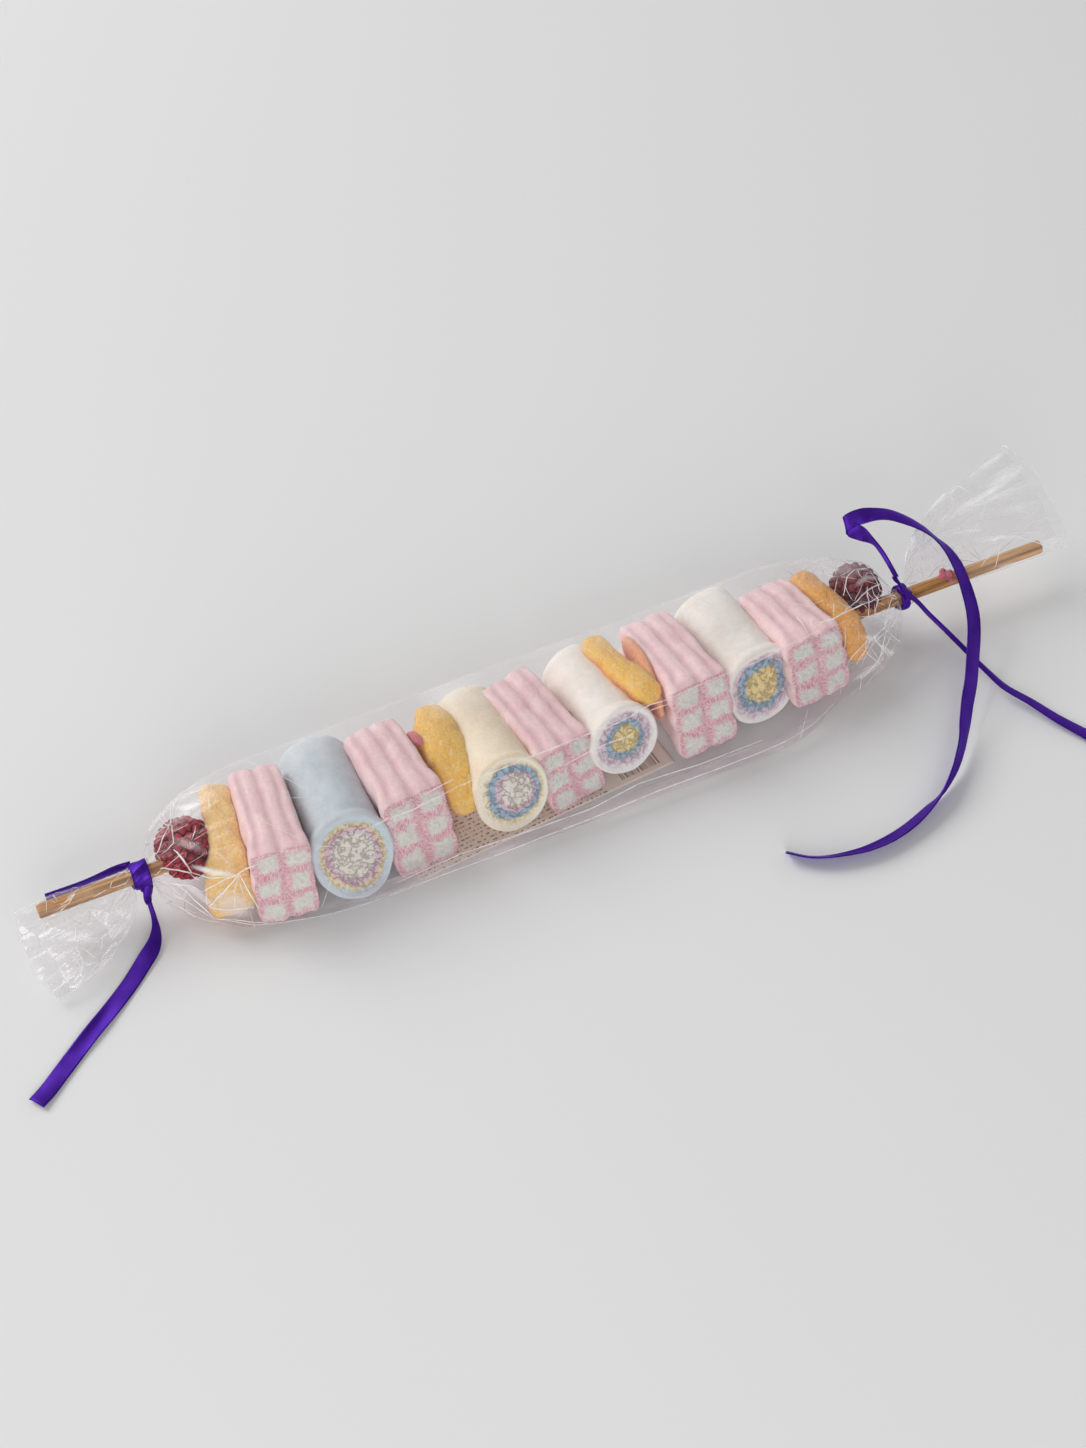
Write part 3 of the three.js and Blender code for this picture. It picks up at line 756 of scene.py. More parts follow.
def stick():
    sides, rows = 48, 130
    theta = circle(sides)
    end = np.array(STICK_END)
    x = np.concatenate([end[:, 0], np.linspace(3, STICK_LENGTH - 3, rows), STICK_LENGTH - end[::-1, 0]])
    shrink = np.concatenate([end[:, 1], np.ones(rows), end[::-1, 1]])
    fibre = 1 + 0.006 * np.cos(9 * theta + 1) + 0.005 * np.cos(17 * theta)
    radius = STICK_RADIUS * shrink[:, None] * fibre[None, :]
    grid = np.stack([
        np.repeat(x[:, None], sides, 1),
        radius * np.cos(theta)[None, :],
        AXIS_Z + radius * np.sin(theta)[None, :],
    ], -1)
    points, faces = capped(grid, [0, 0, AXIS_Z], [STICK_LENGTH, 0, AXIS_Z])
    make_piece("stick_rod", points, faces, [wood("stick_wood")], "wood", ("stick",))


stick()

# ---- square sweets --------------------------------------------------------------------------

# x of the middle, width, length, height, yaw, tilt, how far it is moved along y and z, and how
# far the foot of its near end stands out.
BLOCKS = {
    "block_a": (83.8, 19.2, 38.5, 29.6, -7.1, -0.6, -2.0, -0.1, 7.8),
    "block_b": (130.8, 21.6, 32.5, 27.8, 4.8, 6.1, 0.7, 0.8, 14.0),
    "block_c": (187.5, 20.8, 34.6, 21.4, 12.0, 9.1, 2.7, 0.0, 13.2),
    "block_d": (243.4, 21.6, 39.5, 29.0, 4.0, -5.4, 2.6, 0.1, 7.8),
    "block_e": (291.3, 22.3, 32.8, 26.4, 7.3, -4.7, 2.2, 0.1, 7.8),
}
CELLS_ACROSS = 2
CELLS_HIGH = 3
TOP_RIDGES = 3
FLOOR_CLEARANCE = 0.9
# How much the near end of a square sweet is squeezed out to its left and its right.
SWELL_SIDE = (0.2, 0.1)
BLOCK_LATTICE = (44, 48, 56)
# Depths in millimetres: of the grooves along its top, along its sides, and of the notch where
# the cells meet at the end's edge, and how far its sides bulge in their middle.
TOP_GROOVE, SIDE_GROOVE, END_NOTCH, SIDE_BULGE = 0.65, 0.9, 0.8, 0.9
# How far the cells stand out of the end, how far the end is sunk in, and the height of its lip.
CELL_PUFF, END_SINK, END_LIP = 1.0, 0.2, 0.5
CORNER_ROUNDING, END_NARROWING, GROOVE_WANDER = 0.16, 0.035, 0.05
BLOCK_LUMPS, BLOCK_CRUMBS = 9.0, 1.6


def lattice_box(counts):
    """Points on the skin of the cube from -1 to 1, on a lattice, and quads facing out."""
    numbers, points, quads, sides = {}, [], [], []

    def number(key):
        if key not in numbers:
            numbers[key] = len(points)
            points.append([2 * k / n - 1 for k, n in zip(key, counts)])
        return numbers[key]

    for axis in range(3):
        a, b = (axis + 1) % 3, (axis + 2) % 3
        for end in (0, counts[axis]):
            for i in range(counts[a]):
                for j in range(counts[b]):
                    corners = []
                    for di, dj in ((0, 0), (1, 0), (1, 1), (0, 1)):
                        key = [0, 0, 0]
                        key[axis], key[a], key[b] = end, i + di, j + dj
                        corners.append(number(tuple(key)))
                    quads.append(corners if end else corners[::-1])
                    sides.append((axis, end > 0))
    return np.array(points), quads, sides


def cell_wave(value, count):
    """From -1 to 1 across each of so many equal cells between -1 and 1."""
    return (((value + 1) / 2 * count) % 1.0) * 2 - 1


def on_stick(local, x, yaw, tilt):
    """Points of a sweet turned and moved to its place on the stick."""
    return local @ rotation("z", yaw).T @ rotation("x", tilt).T + np.array([x, 0, AXIS_Z])


def square_sweet(name, seed, facts, materials):
    x, width, length, height, yaw, tilt, along, lift, foot = facts
    lattice, quads, sides = lattice_box(BLOCK_LATTICE)
    u, t, v = lattice.T
    drift = GROOVE_WANDER * (1 - u ** 4) * rough(np.stack([u * 4, t * 18, v * 4], -1), BLOCK_LUMPS, seed + 3)
    u = u + drift
    groove = (0.5 - 0.5 * np.cos(math.pi * TOP_RIDGES * (u + 1))) ** 1.5 * (1 - u ** 8)
    side_groove = np.exp(-(((np.abs(v) - 1 / CELLS_HIGH) / 0.16) ** 2))
    u = u - drift
    px = width / 2 * u * np.sqrt(1 - CORNER_ROUNDING * v ** 6)
    pz = height / 2 * v * np.sqrt(1 - CORNER_ROUNDING * u ** 6)
    py = length / 2 * t
    from_middle = np.abs(t)
    deeper = 0.35 + 0.65 * smoothstep(0.3, 1.0, from_middle)
    px -= np.sign(u) * SIDE_GROOVE * side_groove * np.abs(u) ** 6 * deeper
    notch = np.exp(-((u / 0.14) ** 2)) * smoothstep(0.8, 1.0, from_middle)
    pz -= np.sign(v) * END_NOTCH * notch * np.abs(v) ** 6
    shallower = 1 - 0.4 * smoothstep(0.75, 1.0, from_middle)
    pz -= np.sign(v) * TOP_GROOVE * groove * np.abs(v) ** 5 * shallower
    narrowed = 1 - END_NARROWING * smoothstep(0.86, 1.0, from_middle) ** 2
    px *= narrowed
    pz *= narrowed
    swollen = smoothstep(-0.45, -0.95, t)
    px += swollen * width / 2 * np.where(u < 0, SWELL_SIDE[0], SWELL_SIDE[1]) * u
    px += SIDE_BULGE * smoothstep(0.9, 0.0, np.abs(t + 0.1)) * (1 - v ** 2) * u
    cu = cell_wave(u * 0.985, CELLS_ACROSS)
    cv = cell_wave(v * 0.985, CELLS_HIGH)
    puff = (1 - np.abs(cu) ** 4) * (1 - np.abs(cv) ** 4)
    end = (from_middle > 0.999).astype(float)
    lip = smoothstep(0.86, 0.97, np.maximum(np.abs(u), np.abs(v)))
    py += np.sign(t) * end * (CELL_PUFF * puff - END_SINK + END_LIP * lip)
    near = (1 - t) / 2
    py -= foot * (1 - v) / 2 * near ** 2
    pz -= 0.05 * height * smoothstep(0.5, 1.0, t) * smoothstep(0, 1, v)
    local = np.stack([px, py + along, pz + lift], -1)
    bulk = rough(local, BLOCK_LUMPS, seed)
    fine = rough(local, BLOCK_CRUMBS, seed + 9)
    middle = np.array([0, along, lift])
    outward = local - middle
    outward[:, 1] *= 0.3
    local += unit(outward) * (0.45 * bulk + 0.07 * fine)[:, None]
    local[:, 1] += np.sign(t) * end * (0.35 * fine + 0.25 * bulk)
    world = on_stick(local, x, yaw, tilt)
    low = world[:, 2] < FLOOR_CLEARANCE
    world[low, 2] = FLOOR_CLEARANCE - 0.1 * np.tanh(FLOOR_CLEARANCE - world[low, 2])
    # UV.x places the painted shade of the top's grooves; on the sides it is set past the grooves.
    uv = np.stack([(u + drift * (end < 0.5) + 1) / 2, (v + 1) / 2], -1)
    on_side = np.abs(u) > 0.999
    uv[on_side & (end < 0.5), 0] = 1.2
    face_material = [1 if axis == 1 else 0 for axis, _ in sides]
    make_piece(name, world, quads, materials, "marshmallow_pink", face_material=face_material, uv=uv)


PINK = srgb(250, 222, 220)
PINK_SHADE = srgb(238, 200, 204)
PINK_SKIN = soft_skin("marshmallow_pink_skin", PINK, PINK_SHADE, TOP_RIDGES)
PINK_CELLS = block_end("marshmallow_cells", srgb(244, 242, 234), srgb(250, 216, 220), srgb(226, 150, 170))
for index, (block_name, block_facts) in enumerate(BLOCKS.items()):
    square_sweet(block_name, index + 1, block_facts, [PINK_SKIN, PINK_CELLS])

# ---- rolls ----------------------------------------------------------------------------------

# x, yaw, tilt, reach to the near and the far end, the two radii, how square the section is
# (2 is round), where the core's middle lies on the near end, how much wider than the roll
# the near end is, and how far its foot stands out beyond its top.
ROLLS = {
    "roll_blue": (107.8, -4.1, 1.7, 24.4, 23.1, 14.3, 14.5, 2.0, (0.4, 0.6), 0.05, 15.0),
    "roll_cream": (167.6, -1.1, 0.2, 22.9, 22.2, 13.1, 12.6, 2.1, (2.6, 0.8), 0.10, 11.5),
    "roll_white_left": (212.6, 4.1, 0.1, 18.5, 24.3, 12.5, 11.6, 2.0, (0.2, 1.2), 0.13, 9.0),
    "roll_white_right": (269.3, 6.2, 3.1, 16.3, 26.9, 12.9, 12.2, 2.5, (0.3, 0.8), 0.13, 11.5),
}
WHITE_CORE = srgb(234, 228, 218)
YELLOW_CORE = srgb(240, 218, 160)
LILAC = srgb(222, 202, 212)
ICE_BLUE = srgb(166, 188, 206)
ROLL_LOOKS = {
    "roll_blue": (
        "marshmallow_blue", srgb(210, 218, 222), srgb(196, 206, 212),
        [(0.0, WHITE_CORE), (0.50, WHITE_CORE), (0.56, LILAC), (0.64, srgb(230, 192, 204)),
         (0.70, srgb(236, 220, 184)), (0.77, srgb(232, 220, 188)), (0.83, srgb(206, 218, 226))],
        0.55,
    ),
    "roll_cream": (
        "marshmallow_cream", srgb(248, 236, 216), srgb(240, 222, 194),
        [(0.0, WHITE_CORE), (0.40, WHITE_CORE), (0.46, srgb(224, 186, 204)), (0.51, LILAC),
         (0.56, ICE_BLUE), (0.68, ICE_BLUE), (0.75, srgb(244, 230, 190)), (0.84, srgb(248, 238, 220))],
        0.42,
    ),
    "roll_white_left": (
        "marshmallow_white", srgb(248, 243, 236), srgb(238, 230, 220),
        [(0.0, YELLOW_CORE), (0.36, YELLOW_CORE), (0.42, ICE_BLUE), (0.54, ICE_BLUE),
         (0.60, LILAC), (0.74, srgb(232, 216, 226)), (0.83, srgb(244, 240, 238))],
        0.38,
    ),
    "roll_white_right": (
        "marshmallow_white", srgb(248, 243, 236), srgb(236, 229, 219),
        [(0.0, YELLOW_CORE), (0.44, YELLOW_CORE), (0.50, ICE_BLUE), (0.65, ICE_BLUE),
         (0.70, LILAC), (0.82, srgb(230, 214, 224)), (0.87, srgb(246, 242, 238))],
        0.46,
    ),
}


FAR_ROUNDING, NEAR_ROUNDING = 3.8, 1.6
ROLL_LUMPS, ROLL_CRUMBS, ROLL_UNEVEN = 11.0, 1.5, 0.035
# How far the near end bulges, in millimetres, and the depths of its crevice and its pleats.
END_SWELL, CREVICE, PLEAT, PLEAT_COUNT = 0.6, 0.8, 0.14, 26
WIDER_FROM = 0.66


def roll_profile(near, far):
    """(share of the radius, place along y) from the far centre round to the near centre, and
    how many of the rows are on the near cap."""
    def rows(share, y):
        return np.stack(np.broadcast_arrays(share, y), -1)

    far_cap = rows(np.linspace(0.0, 0.68, 8)[1:], far)
    a = np.linspace(0.2, 1.57, 10)
    far_round = rows(0.68 + 0.23 * np.sin(a), far - FAR_ROUNDING * (1 - np.cos(a)))
    k = np.linspace(0, 1, 64)
    waist = 0.02 * np.sin(math.pi * k) + 0.045 * np.exp(-((k / 0.16) ** 2))
    rim = 0.045 * smoothstep(0.88, 1.0, k) - 0.025 * np.exp(-(((k - 0.86) / 0.06) ** 2))
    side = rows(0.955 - waist + rim, np.linspace(far - FAR_ROUNDING, 2.2 - near, 64))
    a = np.linspace(0, 1.57, 9)
    near_round = rows(0.915 + 0.085 * np.cos(a), NEAR_ROUNDING * (1 - np.sin(a)) - near)
    share = np.linspace(0.89, 0.0, 38)[:-1]
    near_cap = rows(share, 0.9 * smoothstep(0.93, 0.76, share) - near)
    return np.vstack([far_cap, far_round, side, near_round, near_cap]), len(near_cap)


def roll(name, seed, facts, look):
    x, yaw, tilt, near, far, radius_x, radius_z, power, core, wider, foot = facts
    slot, colour, shade, rings, crevice_share = look
    sides = 112
    profile, cap_rows = roll_profile(near, far)
    theta = circle(sides)
    c, s = np.cos(theta), np.sin(theta)
    outline = (np.abs(c) ** power + np.abs(s) ** power) ** (-1 / power)
    uneven = 1 + 0.022 * np.cos(2 * theta + seed) + 0.015 * np.cos(3 * theta + 2 * seed)
    rows = len(profile)
    share, along = profile[:, 0][:, None], profile[:, 1][:, None]
    grid = np.stack([
        share * (outline * uneven * c)[None, :] * radius_x,
        np.repeat(along, sides, 1),
        share * (outline * uneven * s)[None, :] * radius_z,
    ], -1)
    first_cap = rows - cap_rows
    flat = grid.reshape(-1, 3)
    bulk = rough(flat, ROLL_LUMPS, seed).reshape(rows, sides)
    fine = rough(flat, ROLL_CRUMBS, seed + 5, 3).reshape(rows, sides)
    on_cap = np.zeros((rows, 1))
    on_cap[first_cap:] = smoothstep(0.93, 0.82, profile[first_cap:, 0])[:, None]
    for axis, shift in ((0, core[0]), (2, core[1])):
        grid[..., axis] += shift * on_cap * (1 - share)
        grid[..., axis] *= 1 + ROLL_UNEVEN * bulk * (1 - on_cap)
    swell = END_SWELL * smoothstep(0.7, 0.2, share)
    crevice = np.exp(-(((share - crevice_share + 0.05 * bulk) / 0.045) ** 2))
    crevice = crevice * (0.5 + 0.5 * np.cos(2 * theta + seed))
    on_rings = smoothstep(0.35, 0.7, share) * smoothstep(0.92, 0.8, share)
    pleat = np.cos(PLEAT_COUNT * theta + 6 * bulk) * on_rings
    grid[..., 1] -= on_cap * (0.55 * fine + swell + 0.3 * bulk - CREVICE * crevice + PLEAT * pleat)
    grid[..., 1] += (1 - on_cap) * 0.05 * fine
    nearness = np.clip((far - grid[..., 1]) / (far + near), 0, 1)
    grid[..., 0] *= 1 + wider * smoothstep(WIDER_FROM, 1.0, nearness)
    grid[..., 2] *= 1 + 0.6 * wider * smoothstep(WIDER_FROM, 1.0, nearness)
    grid[..., 1] += foot / 2 * grid[..., 2] / radius_z * nearness ** 3
    grid[..., 1] -= 0.6 * on_cap * (1 - share ** 2)
    points, faces = capped(grid, [0, far, 0], grid[-1].mean(0))
    world = on_stick(points, x, yaw, tilt)
    world[:, 2] = np.maximum(world[:, 2], FLOOR_CLEARANCE)
    uv = np.stack(np.broadcast_arrays(share, theta[None, :]), -1).reshape(-1, 2).copy()
    uv = np.vstack([uv, [[0, 0], [0, 0]]])
    face_material = np.zeros(len(faces), int)
    face_material[(first_cap - 2) * sides:(rows - 1) * sides] = 1
    face_material[-sides:] = 1
    materials = [soft_skin(name + "_skin", colour, shade), roll_end(name + "_end", rings)]
    make_piece(name, world, faces, materials, slot, face_material=face_material, uv=uv)


for index, (roll_name, roll_facts) in enumerate(ROLLS.items()):
    roll(roll_name, index + 21, roll_facts, ROLL_LOOKS[roll_name])

# ---- jellies --------------------------------------------------------------------------------

# Line through the middle of each, with the two half-widths there: across the line as seen
# from above, and the other way.
JELLIES = {
    "jelly_amber": [
        (71.6, 19.6, 23.2, 3.0, 2.4), (70.8, 16.4, 23.4, 5.8, 4.4), (69.2, 6.0, 22.4, 6.0, 5.8),
        (66.6, -6.0, 19.0, 6.8, 6.4), (63.8, -14.0, 14.0, 8.4, 6.4), (62.4, -19.4, 9.8, 8.8, 5.2),
        (62.2, -22.6, 8.0, 6.4, 3.0),
    ],
    "jelly_pear": [
        (153.4, 20.4, 23.6, 2.6, 2.2), (153.0, 17.2, 24.0, 5.4, 4.4), (152.0, 9.6, 24.2, 7.8, 5.8),
        (151.4, 1.6, 22.8, 8.3, 6.2), (151.4, -5.6, 19.6, 6.9, 6.0), (151.3, -11.6, 15.8, 5.6, 5.2),
        (151.2, -16.6, 12.6, 5.2, 4.6), (151.0, -19.4, 10.8, 2.8, 2.4),
    ],
    "jelly_pear_edge": [
        (157.4, 8.0, 17.0, 1.0, 2.6), (157.2, 4.0, 17.6, 1.8, 6.4), (156.4, -4.0, 16.8, 2.0, 7.6),
        (155.4, -11.0, 14.8, 1.9, 6.8), (154.6, -16.0, 13.0, 1.6, 5.0), (154.2, -18.4, 12.0, 0.9, 2.2),
    ],
    "jelly_crescent": [
        (218.0, 21.6, 28.6, 2.2, 1.8), (218.8, 18.6, 28.6, 4.6, 3.2), (220.6, 11.0, 28.6, 4.4, 3.8),
        (222.6, 3.5, 28.4, 5.0, 3.8), (225.4, -3.4, 28.0, 5.6, 4.0), (227.4, -9.4, 27.0, 5.2, 3.8),
        (227.8, -13.0, 26.2, 2.6, 2.0),
    ],
    "jelly_salmon": [
        (231.4, 18.0, 23.0, 0.9, 2.6), (231.6, 14.0, 24.6, 2.0, 5.6), (231.6, 6.0, 24.2, 2.3, 7.6),
        (231.2, -2.0, 22.6, 2.2, 7.8), (230.6, -9.6, 20.0, 1.9, 6.0), (230.4, -14.6, 18.4, 0.9, 2.4),
    ],
    "jelly_bow": [
        (303.0, 19.4, 24.4, 2.4, 2.4), (304.2, 15.6, 24.8, 4.8, 4.8), (307.4, 6.4, 23.8, 5.4, 5.6),
        (310.0, -2.0, 21.6, 5.4, 5.8), (311.2, -9.4, 18.2, 5.2, 5.6), (310.8, -15.0, 15.0, 4.6, 4.6),
        (310.2, -17.6, 13.4, 2.2, 2.2),
    ],
    "crumb_rose": [
        (141.8, 9.6, 27.6, 0.8, 0.9), (142.4, 8.2, 28.0, 1.6, 1.7), (142.9, 6.0, 28.1, 2.0, 1.8),
        (143.9, 4.4, 27.8, 1.5, 1.4), (144.6, 3.4, 27.2, 0.7, 0.7),
    ],
}
AMBER = jelly("jelly_amber", srgb(255, 206, 128), srgb(252, 158, 58), 0.65, 0.4)
YELLOW = jelly("jelly_yellow", srgb(255, 200, 88), srgb(250, 156, 34), 0.6, 0.4)
DARK_AMBER = jelly("jelly_dark_amber", srgb(240, 172, 74), srgb(226, 134, 32), 0.45, 0.4)
SALMON = jelly("jelly_salmon", srgb(250, 172, 128), srgb(240, 134, 92), 0.25)
ROSE = jelly("jelly_rose", srgb(224, 130, 140), srgb(204, 100, 118), 0.2)
RED = berry_skin("jelly_red", srgb(168, 8, 44), srgb(112, 5, 30), 0.4)
WINE = berry_skin("jelly_wine", srgb(118, 8, 34), srgb(72, 4, 22), 0.3)
JELLY_LOOKS = {
    "jelly_amber": (AMBER, "jelly_yellow"),
    "jelly_pear": (YELLOW, "jelly_yellow"),
    "jelly_pear_edge": (YELLOW, "jelly_yellow"),
    "jelly_crescent": (YELLOW, "jelly_yellow"),
    "jelly_salmon": (SALMON, "jelly_yellow"),
    "jelly_bow": (DARK_AMBER, "jelly_yellow"),
    "crumb_rose": (ROSE, "jelly_red"),
}
JELLY_POWER = 2.8
JELLY_STEP, CRUMB_STEP = 0.55, 0.3
# Size of the lumps and of the sugar, and how far each stands out: the lumps as a share of the
# half-width, the sugar in millimetres.
JELLY_LUMPS, JELLY_SUGAR, LUMP_SHARE, SUGAR_HEIGHT = 6.0, 0.9, 0.16, 0.14
JELLY_END = 0.6


def jelly_piece(name, seed, route, material, slot):
    sides = 48
    line = through(route, CRUMB_STEP if name.startswith("crumb") else JELLY_STEP)
    centre = line[:, :3]
    tangent = unit(np.gradient(centre, axis=0))
    level = level_across(tangent)
    upright = np.cross(level, tangent)
    c, s = np.cos(circle(sides)), np.sin(circle(sides))
    squarish = (np.abs(c) ** JELLY_POWER + np.abs(s) ** JELLY_POWER) ** (-1 / JELLY_POWER)
    c, s = (squarish * c)[None, :, None], (squarish * s)[None, :, None]
    wide, tall = line[:, 3][:, None, None], line[:, 4][:, None, None]
    offset = level[:, None, :] * c * wide + upright[:, None, :] * s * tall
    grid = centre[:, None, :] + offset
    flat = grid.reshape(-1, 3)
    lumps = rough(flat, JELLY_LUMPS, seed).reshape(len(line), sides, 1)
    sugar = rough(flat, JELLY_SUGAR, seed + 3).reshape(len(line), sides, 1)
    grid = grid + unit(offset) * (LUMP_SHARE * np.minimum(wide, tall) * lumps + SUGAR_HEIGHT * sugar)
    points, faces = capped(grid, centre[0] - JELLY_END * tangent[0], centre[-1] + JELLY_END * tangent[-1])
    points[:, 2] = np.maximum(points[:, 2], FLOOR_CLEARANCE)
    # UV.x is 1 on top and 0 underneath; it places the sugar and the painted shade.
    top = np.broadcast_to((s[..., 0] + 1) / 2, grid.shape[:2]).ravel()
    uv = np.stack([np.concatenate([top, [0.5, 0.5]]), np.zeros(len(points))], -1)
    make_piece(name, points, faces, [material], slot, uv=uv)


for index, (jelly_name, jelly_route) in enumerate(JELLIES.items()):
    jelly_piece(jelly_name, index + 41, jelly_route, *JELLY_LOOKS[jelly_name])


# ---- berries --------------------------------------------------------------------------------

BERRIES = {
    "berry_left": {"centre": (54.6, 3.2, 18.4), "radii": (10.4, 10.8, 10.6), "count": 150, "skin": RED},
    "berry_right": {"centre": (323.6, 8.4, 19.2), "radii": (9.4, 10.6, 10.2), "count": 112, "skin": WINE},
}
DRUPELET_HEIGHT = 1.05
DRUPELET_SHIFT = 0.05
# How wide the gaps between the drupelets are, how steeply a drupelet falls off from its middle,
# and how far the whole skin lies within the berry's size, in millimetres.
DRUPELET_GAP, DRUPELET_FALL, SKIN_WITHIN = 0.7, 0.24, 0.5
CREST_GAP = 1.5


def berry(name, seed, centre, radii, count, skin):
    """Jelly moulded in the small round drupelets of a raspberry."""
    turn = math.pi * (3 - math.sqrt(5))
    k = np.arange(count)
    height = 1 - 2 * (k + 0.5) / count
    ring = np.sqrt(1 - height ** 2)
    generator = np.random.default_rng(seed)
    seeds = np.stack([height, ring * np.cos(turn * k), ring * np.sin(turn * k)], -1)
    seeds += generator.normal(0, DRUPELET_SHIFT, seeds.shape)
    seeds = unit(seeds) * np.array(radii)
    tree = kdtree.KDTree(count)
    for number, point in enumerate(seeds):
        tree.insert(point, number)
    tree.balance()
    around, down = 200, 120
    poles_along_x = np.roll(ball_grid(down, around, 0.012), 1, -1)
    points, crest = [], []
    for direction in poles_along_x.reshape(-1, 3):
        base = direction * radii
        (_, _, nearest), (_, _, second) = tree.find_n(base, 2)
        gap = second - nearest
        lift = DRUPELET_HEIGHT * math.tanh(gap / DRUPELET_GAP) - DRUPELET_FALL * nearest ** 2 - SKIN_WITHIN
        points.append(base * (1 + lift / np.linalg.norm(base)))
        # crest is 0 in the gaps between the drupelets; it places their painted shade.
        crest.append(min(gap / CREST_GAP, 1.0))
    points = np.array(points) + np.array(centre)
    points[:, 2] = np.maximum(points[:, 2], FLOOR_CLEARANCE)
    grid = points.reshape(down, around, 3)
    points, faces = capped(grid, grid[0].mean(0), grid[-1].mean(0))
    uv = np.stack([np.concatenate([crest, [1, 1]]), np.zeros(len(points))], -1)
    make_piece(name, points, faces, [skin], "jelly_red", uv=uv)


for index, (berry_name, berry_facts) in enumerate(BERRIES.items()):
    berry(berry_name, index + 61, **berry_facts)

# Pink crumbs stuck to the stick inside the right flare: middle and size of each lump.
CRUMBS = [
    (356.6, 0.2, 20.2, 1.5), (358.6, -0.4, 20.4, 1.7), (360.2, 0.8, 19.8, 1.2),
    (357.8, 1.8, 20.2, 1.4), (359.2, -2.0, 19.0, 1.2),
]


def crumbs():
    around, down = 20, 12
    ball = ball_grid(down, around, 0.02).reshape(-1, 3)
    points, faces = [], []
    for number, (x, y, z, size) in enumerate(CRUMBS):
        lump = ball * size * (1 + 0.22 * rough(ball * size, 1.1, 71 + number)[:, None])
        points.append(lump + np.array([x, y, z]))
        faces += grid_faces(down, around, start=number * around * down)
    make_piece("crumbs_pink", np.vstack(points), faces, [ROSE], "jelly_red")


crumbs()

# ---- label ----------------------------------------------------------------------------------

LABEL = {"x": 178.0, "y": -8.0, "length": 106.0, "width": 39.0, "turn": 5.2, "z": 0.26, "thickness": 0.16}
# The label turns up on the near side of this y.
CURL_FROM, CURL = -30.2, 0.16


def label():
    """Paper strip under the sweets, its near edge turned up a little by the side of the bag."""
    columns, rows = 90, 40
    s, t = np.meshgrid(np.linspace(-0.5, 0.5, columns), np.linspace(-0.5, 0.5, rows))
    local = np.stack([s * LABEL["length"], t * LABEL["width"], np.zeros_like(s)], -1).reshape(-1, 3)
    world = local @ rotation("z", LABEL["turn"]).T + np.array([LABEL["x"], LABEL["y"], LABEL["z"]])
    world[:, 2] += 0.05 * np.sin(world[:, 0] / 9.0) + 0.04 * np.sin(world[:, 1] / 4.0 + 1)
    world[:, 2] += CURL * np.clip(CURL_FROM - world[:, 1], 0, None) ** 2
    under = world - np.array([0, 0, LABEL["thickness"]])
    uv = np.stack([s.ravel() + 0.5, t.ravel() + 0.5], -1)
    count = rows * columns
    upper = grid_faces(rows, columns, closed=False)
    faces = upper + [tuple(i + count for i in face[::-1]) for face in upper]
    rim = list(range(columns)) + [r * columns + columns - 1 for r in range(1, rows)]
    rim += [(rows - 1) * columns + k for k in range(columns - 2, -1, -1)]
    rim += [r * columns for r in range(rows - 2, 0, -1)]
    faces += [(a + count, b + count, b, a) for a, b in zip(rim, rim[1:] + rim[:1])]
    make_piece("label_paper", np.vstack([world, under]), faces, [printed_paper("label_paper")], "paper",
               ("label",), uv=np.vstack([uv, uv]))


label()

# ---- film bag -------------------------------------------------------------------------------

NECK_HALF_LENGTH = 3.4
# Corners of the bag's section: y, z and how far from the corner its rounding starts.
SECTION = [(27.0, 0.0, 11.0), (27.0, 34.5, 13.0), (-21.0, 34.0, 12.0), (-38.0, 0.0, 6.0)]
SWELL_LEFT = {"near": 74.0, "far": 46.0, "up": 42.0, "down": 40.0}
SWELL_RIGHT = {"near": 74.0, "far": 52.0, "up": 46.0, "down": 40.0}
BREADTH_NEAR = (0.94, 1.03)
BREADTH_FAR = (0.88, 1.09)
PINCH_SHARE, PINCH_FROM, PINCH_REACH = 0.2, 28.0, 20.0
BLOCK_HALF_WIDTH = 11.0
DIP_DEPTH = 1.4
FOLD_COUNT = 10
FOLD_DEPTH = 1.2
FOLD_REACH = 34.0
PLEAT_DEPTH, PLEAT_REACH = 0.55, 14.0
# The dip between the sweets fades out on the far side, between these two y, down to this share.
DIP_FADE, DIP_LEFT_FAR = (8.0, 20.0), 0.1
FLARE_LEFT = {
    "stick": (0.4, 17.0, 3.9), "tip": (-27.0, 2.6, 1.6), "along_stick": -7.0, "along_tip": -3.0,
    "bow": -2.5, "bell": 0.45,
}
FLARE_RIGHT = {
    "stick": (1.6, 17.3, 5.6), "tip": (34.0, 38.0, 1.8), "along_stick": 411.0, "along_tip": 402.0,
    "bow": 0.0, "bell": 0.4,
}
FLARE_FOLD_DEPTH, FLARE_PLEAT_DEPTH = 1.3, 0.3
FLARE_STATIONS, FLARE_SPACING = 100, 1.1
FILM_AROUND = 240
OUTLINE_DENSE = 4800
FILM_LIFT = 0.05
BODY_FILM = film("film_clear", 0.02, 0.15, 0.12, 0.018, 0.45)
FLARE_FILM = film("film_crackled", 0.09, 0.15, 0.1, 0.05, 0.35)


def spaced_from_far_side(dense):
    """Even points on a closed outline in the YZ plane, from the far side level with the axis."""
    closed = np.vstack([dense, dense[:1]])
    run = run_along(closed)
    even = np.linspace(0, run[-1], OUTLINE_DENSE, endpoint=False)
    points = np.stack([np.interp(even, run, closed[:, c]) for c in (0, 1)], -1)
    start = int(np.argmin(np.abs(np.arctan2(points[:, 1] - AXIS_Z, points[:, 0]))))
    take = (start + np.arange(FILM_AROUND) * OUTLINE_DENSE // FILM_AROUND) % OUTLINE_DENSE
    return points[take]


